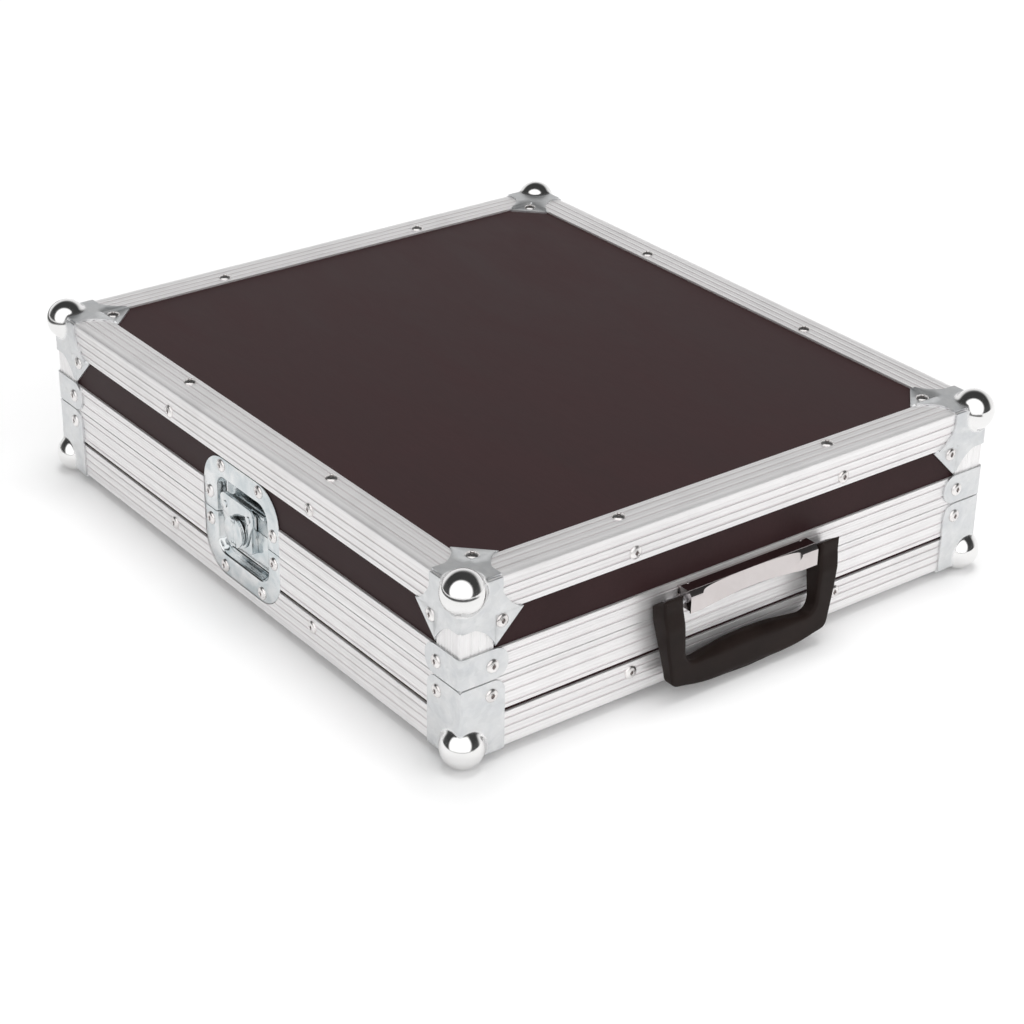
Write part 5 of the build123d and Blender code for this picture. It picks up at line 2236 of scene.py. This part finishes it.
@dataclass
class Studio:
    """A pale floor, soft light and the camera at the photograph's angle."""

    eye: Point3 = (-0.84234, -1.10529, 0.74283)
    right: Point3 = (0.79852, -0.60178, 0.01482)
    down: Point3 = (-0.27213, -0.38283, -0.88283)
    ahead: Point3 = (0.53695, 0.70093, -0.46946)
    lens: float = 85.48
    floor_half: float = 9.0
    floor_colour: Colour = (0.92, 0.92, 0.92)
    floor_lift: float = 0.06
    world_strength: float = 1.0
    screen_way: Point3 = (-0.36, -0.76, 0.6)
    screen: tuple[Point2, ...] = ((0.0, 0.2), (0.45, 0.2), (0.68, 1.0), (1.0, 1.0))
    horizon: tuple[Point2, ...] = ((0.0, 1.0), (0.07, 0.95), (0.2, 0.3), (0.8, 0.2))
    mirror_way: Point3 = (-0.66, -0.60, 0.52)
    mirror_screen: tuple[Point2, ...] = ((0.0, 0.05), (0.5, 0.05), (0.62, 1.3), (1.0, 1.3))
    paper: tuple[Point2, ...] = ((0.0, 1.0), (0.34, 0.85), (0.58, 0.12), (0.8, 0.06))
    paper_reach: tuple[Point2, ...] = ((0.0, 0.08), (0.12, 0.12), (0.34, 1.0), (1.0, 1.0))
    # Painted dark reflection on the floor: its band by distance, its fade across, its scale and its colour.
    painted_reflection_band: tuple[Point2, ...] = ((0.29, 0.0), (0.34, 1.0), (0.65, 1.0), (0.72, 0.0))
    painted_reflection_ends: Point2 = (0.14, 0.26)
    painted_reflection_scale: float = 2.0
    painted_reflection_colour: Colour = (0.03, 0.03, 0.03)

    def camera(self) -> None:
        """Sets the camera up."""
        data = bpy.data.cameras.new("view")
        data.lens = self.lens
        data.sensor_width = 36.0
        data.clip_start = 0.05
        data.clip_end = 100.0
        obj = bpy.data.objects.new("view", data)
        bpy.context.scene.collection.objects.link(obj)
        columns = (Vector(self.right), -Vector(self.down), -Vector(self.ahead), Vector(self.eye))
        obj.matrix_world = Matrix([[*(c[i] for c in columns)] for i in range(3)] + [[0, 0, 0, 1]])
        bpy.context.scene.camera = obj

    def floor(self) -> None:
        """Lays the floor, which is lit white where it is seen straight or in a reflection, except for a
        painted dark reflection: a band of it some way from the case turns near black for reflected rays only.
        """
        h = self.floor_half / MM
        obj = piece_from("studio_floor", [(-h, -h, 0), (h, -h, 0), (h, h, 0), (-h, h, 0)], [(0, 1, 2, 3)])
        s = Surface("studio paper")
        dull = tuple(0.995 * c for c in self.floor_colour)
        paper = s.ramp(s.noise(s.place(), 8.0, 2.0), (0.0, dull), (1.0, self.floor_colour))
        # Painted reflection: a band of the floor is near black for glossy rays only, so the balls show a dark
        # ring.
        far = s.node("ShaderNodeVectorMath", {0: s.place()}, operation="LENGTH").outputs["Value"]
        painted_reflection = s.ramp(s.calc("DIVIDE", far, self.painted_reflection_scale), *self.painted_reflection_band)
        across = s.node("ShaderNodeSeparateXYZ", {0: s.place()}).outputs["X"]
        near_end, far_end = self.painted_reflection_ends
        painted_reflection = s.calc("MULTIPLY", painted_reflection, s.range(across, 0.0, 1.0, far_end, near_end))
        painted_reflection = s.calc("MULTIPLY", painted_reflection, s.node("ShaderNodeLightPath").outputs["Is Glossy Ray"])
        s.set(colour=s.blend(painted_reflection, paper, self.painted_reflection_colour), rough=1.0, specular=0.0)
        glow = s.calc("MULTIPLY", self.seen_rays(s), self.floor_lift)
        s.tree.links.new(glow, s.shader.inputs["Emission Strength"])
        s.shader.inputs["Emission Color"].default_value = (1.0, 1.0, 1.0, 1.0)
        obj.data.materials.append(s.material)

    def seen_rays(self, s: Surface) -> Socket:
        """One where a ray comes from the camera, a reflection or glass.

        Args:
            s: The surface that asks.

        Returns:
            The value.
        """
        path = s.node("ShaderNodeLightPath")
        total = path.outputs["Is Camera Ray"]
        for name in ("Is Glossy Ray", "Is Transmission Ray"):
            total = s.calc("MAXIMUM", total, path.outputs[name])
        return total

    def world(self) -> None:
        """Lights the scene from all round, and gives reflections a photographer's room to show.

        Reflections see a wide white screen behind the camera, a white paper that rises behind the
        case, and the dark room between them. Other rays see the same room in softer steps.
        """
        world = bpy.data.worlds.new("studio")
        world.use_nodes = True
        sky = Shading(world.node_tree)
        place = sky.node("ShaderNodeTexCoord").outputs["Generated"]

        def toward(way: Point3) -> Socket:
            """How far a ray points one way, below zero where it points back."""
            links = {0: place, 1: tuple(Vector(way).normalized())}
            return sky.node("ShaderNodeVectorMath", links, operation="DOT_PRODUCT").outputs["Value"]

        height = toward((0, 0, 1))
        away = tuple(-c for c in self.mirror_way)
        screen = sky.ramp(toward(self.screen_way), *self.screen)
        soft = sky.blend(1.0, screen, sky.ramp(height, *self.horizon), "LIGHTEN")
        reach = sky.ramp(toward(away), *self.paper_reach)
        paper = sky.blend(1.0, sky.ramp(height, *self.paper), reach, "MULTIPLY")
        screen = sky.ramp(toward(self.mirror_way), *self.mirror_screen)
        room = sky.blend(1.0, screen, paper, "LIGHTEN")
        mirrored = sky.node("ShaderNodeLightPath").outputs["Is Glossy Ray"]
        background = sky.tree.nodes["Background"].inputs
        sky.tree.links.new(sky.blend(mirrored, soft, room), background["Color"])
        background["Strength"].default_value = self.world_strength
        bpy.context.scene.world = world

    def lamp(self, name: str, place: Point3, target: Point3, size: float, power: float) -> None:
        """Hangs one soft square lamp.

        Args:
            name: Its name.
            place: Where it hangs, in metres.
            target: What it points at.
            size: The length of its side.
            power: Its power in watts.
        """
        data = bpy.data.lights.new(name, "AREA")
        data.shape = "SQUARE"
        data.size = size
        data.energy = power
        obj = bpy.data.objects.new(name, data)
        bpy.context.scene.collection.objects.link(obj)
        obj.location = place
        way = Vector(target) - Vector(place)
        obj.rotation_mode = "QUATERNION"
        obj.rotation_quaternion = way.to_track_quat("-Z", "Y")
        obj.visible_glossy = False

    def build(self) -> None:
        """Sets up floor, world, lamps and camera."""
        self.floor()
        self.world()
        self.lamp("overhead", (0.55, 0.35, 5.0), (0.0, 0.0, 0.05), 2.6, 140.0)
        self.lamp("side", (1.9, -2.0, 1.5), (0.0, 0.0, 0.05), 0.8, 9.0)
        self.camera()
        scene = bpy.context.scene
        scene.view_settings.view_transform = "Standard"


def main() -> None:
    """Dresses the case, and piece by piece."""
    logging.basicConfig(level=logging.INFO, format="%(message)s")
    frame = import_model()
    nodes = frame["nodes"]
    finishes = Finishes()
    RibbedFrame(finishes.aluminium, extrusion_tree()).build()
    PressedCorners(finishes.zinc).build()
    PopRivets(finishes.rivet, finishes.pin, rivet_tree()).build()
    latch = RecessedLatch(finishes.latch)
    for name in LATCH_MIDDLE:
        latch.build(SIDES[name], nodes)
    BracketHandle(finishes.nickel, finishes.grip).build()
    CutFoam(finishes.foam).build()
    CarriedOver(finishes.board, finishes.rod).build(nodes)
    Studio().build()


if __name__ == "__main__":
    main()
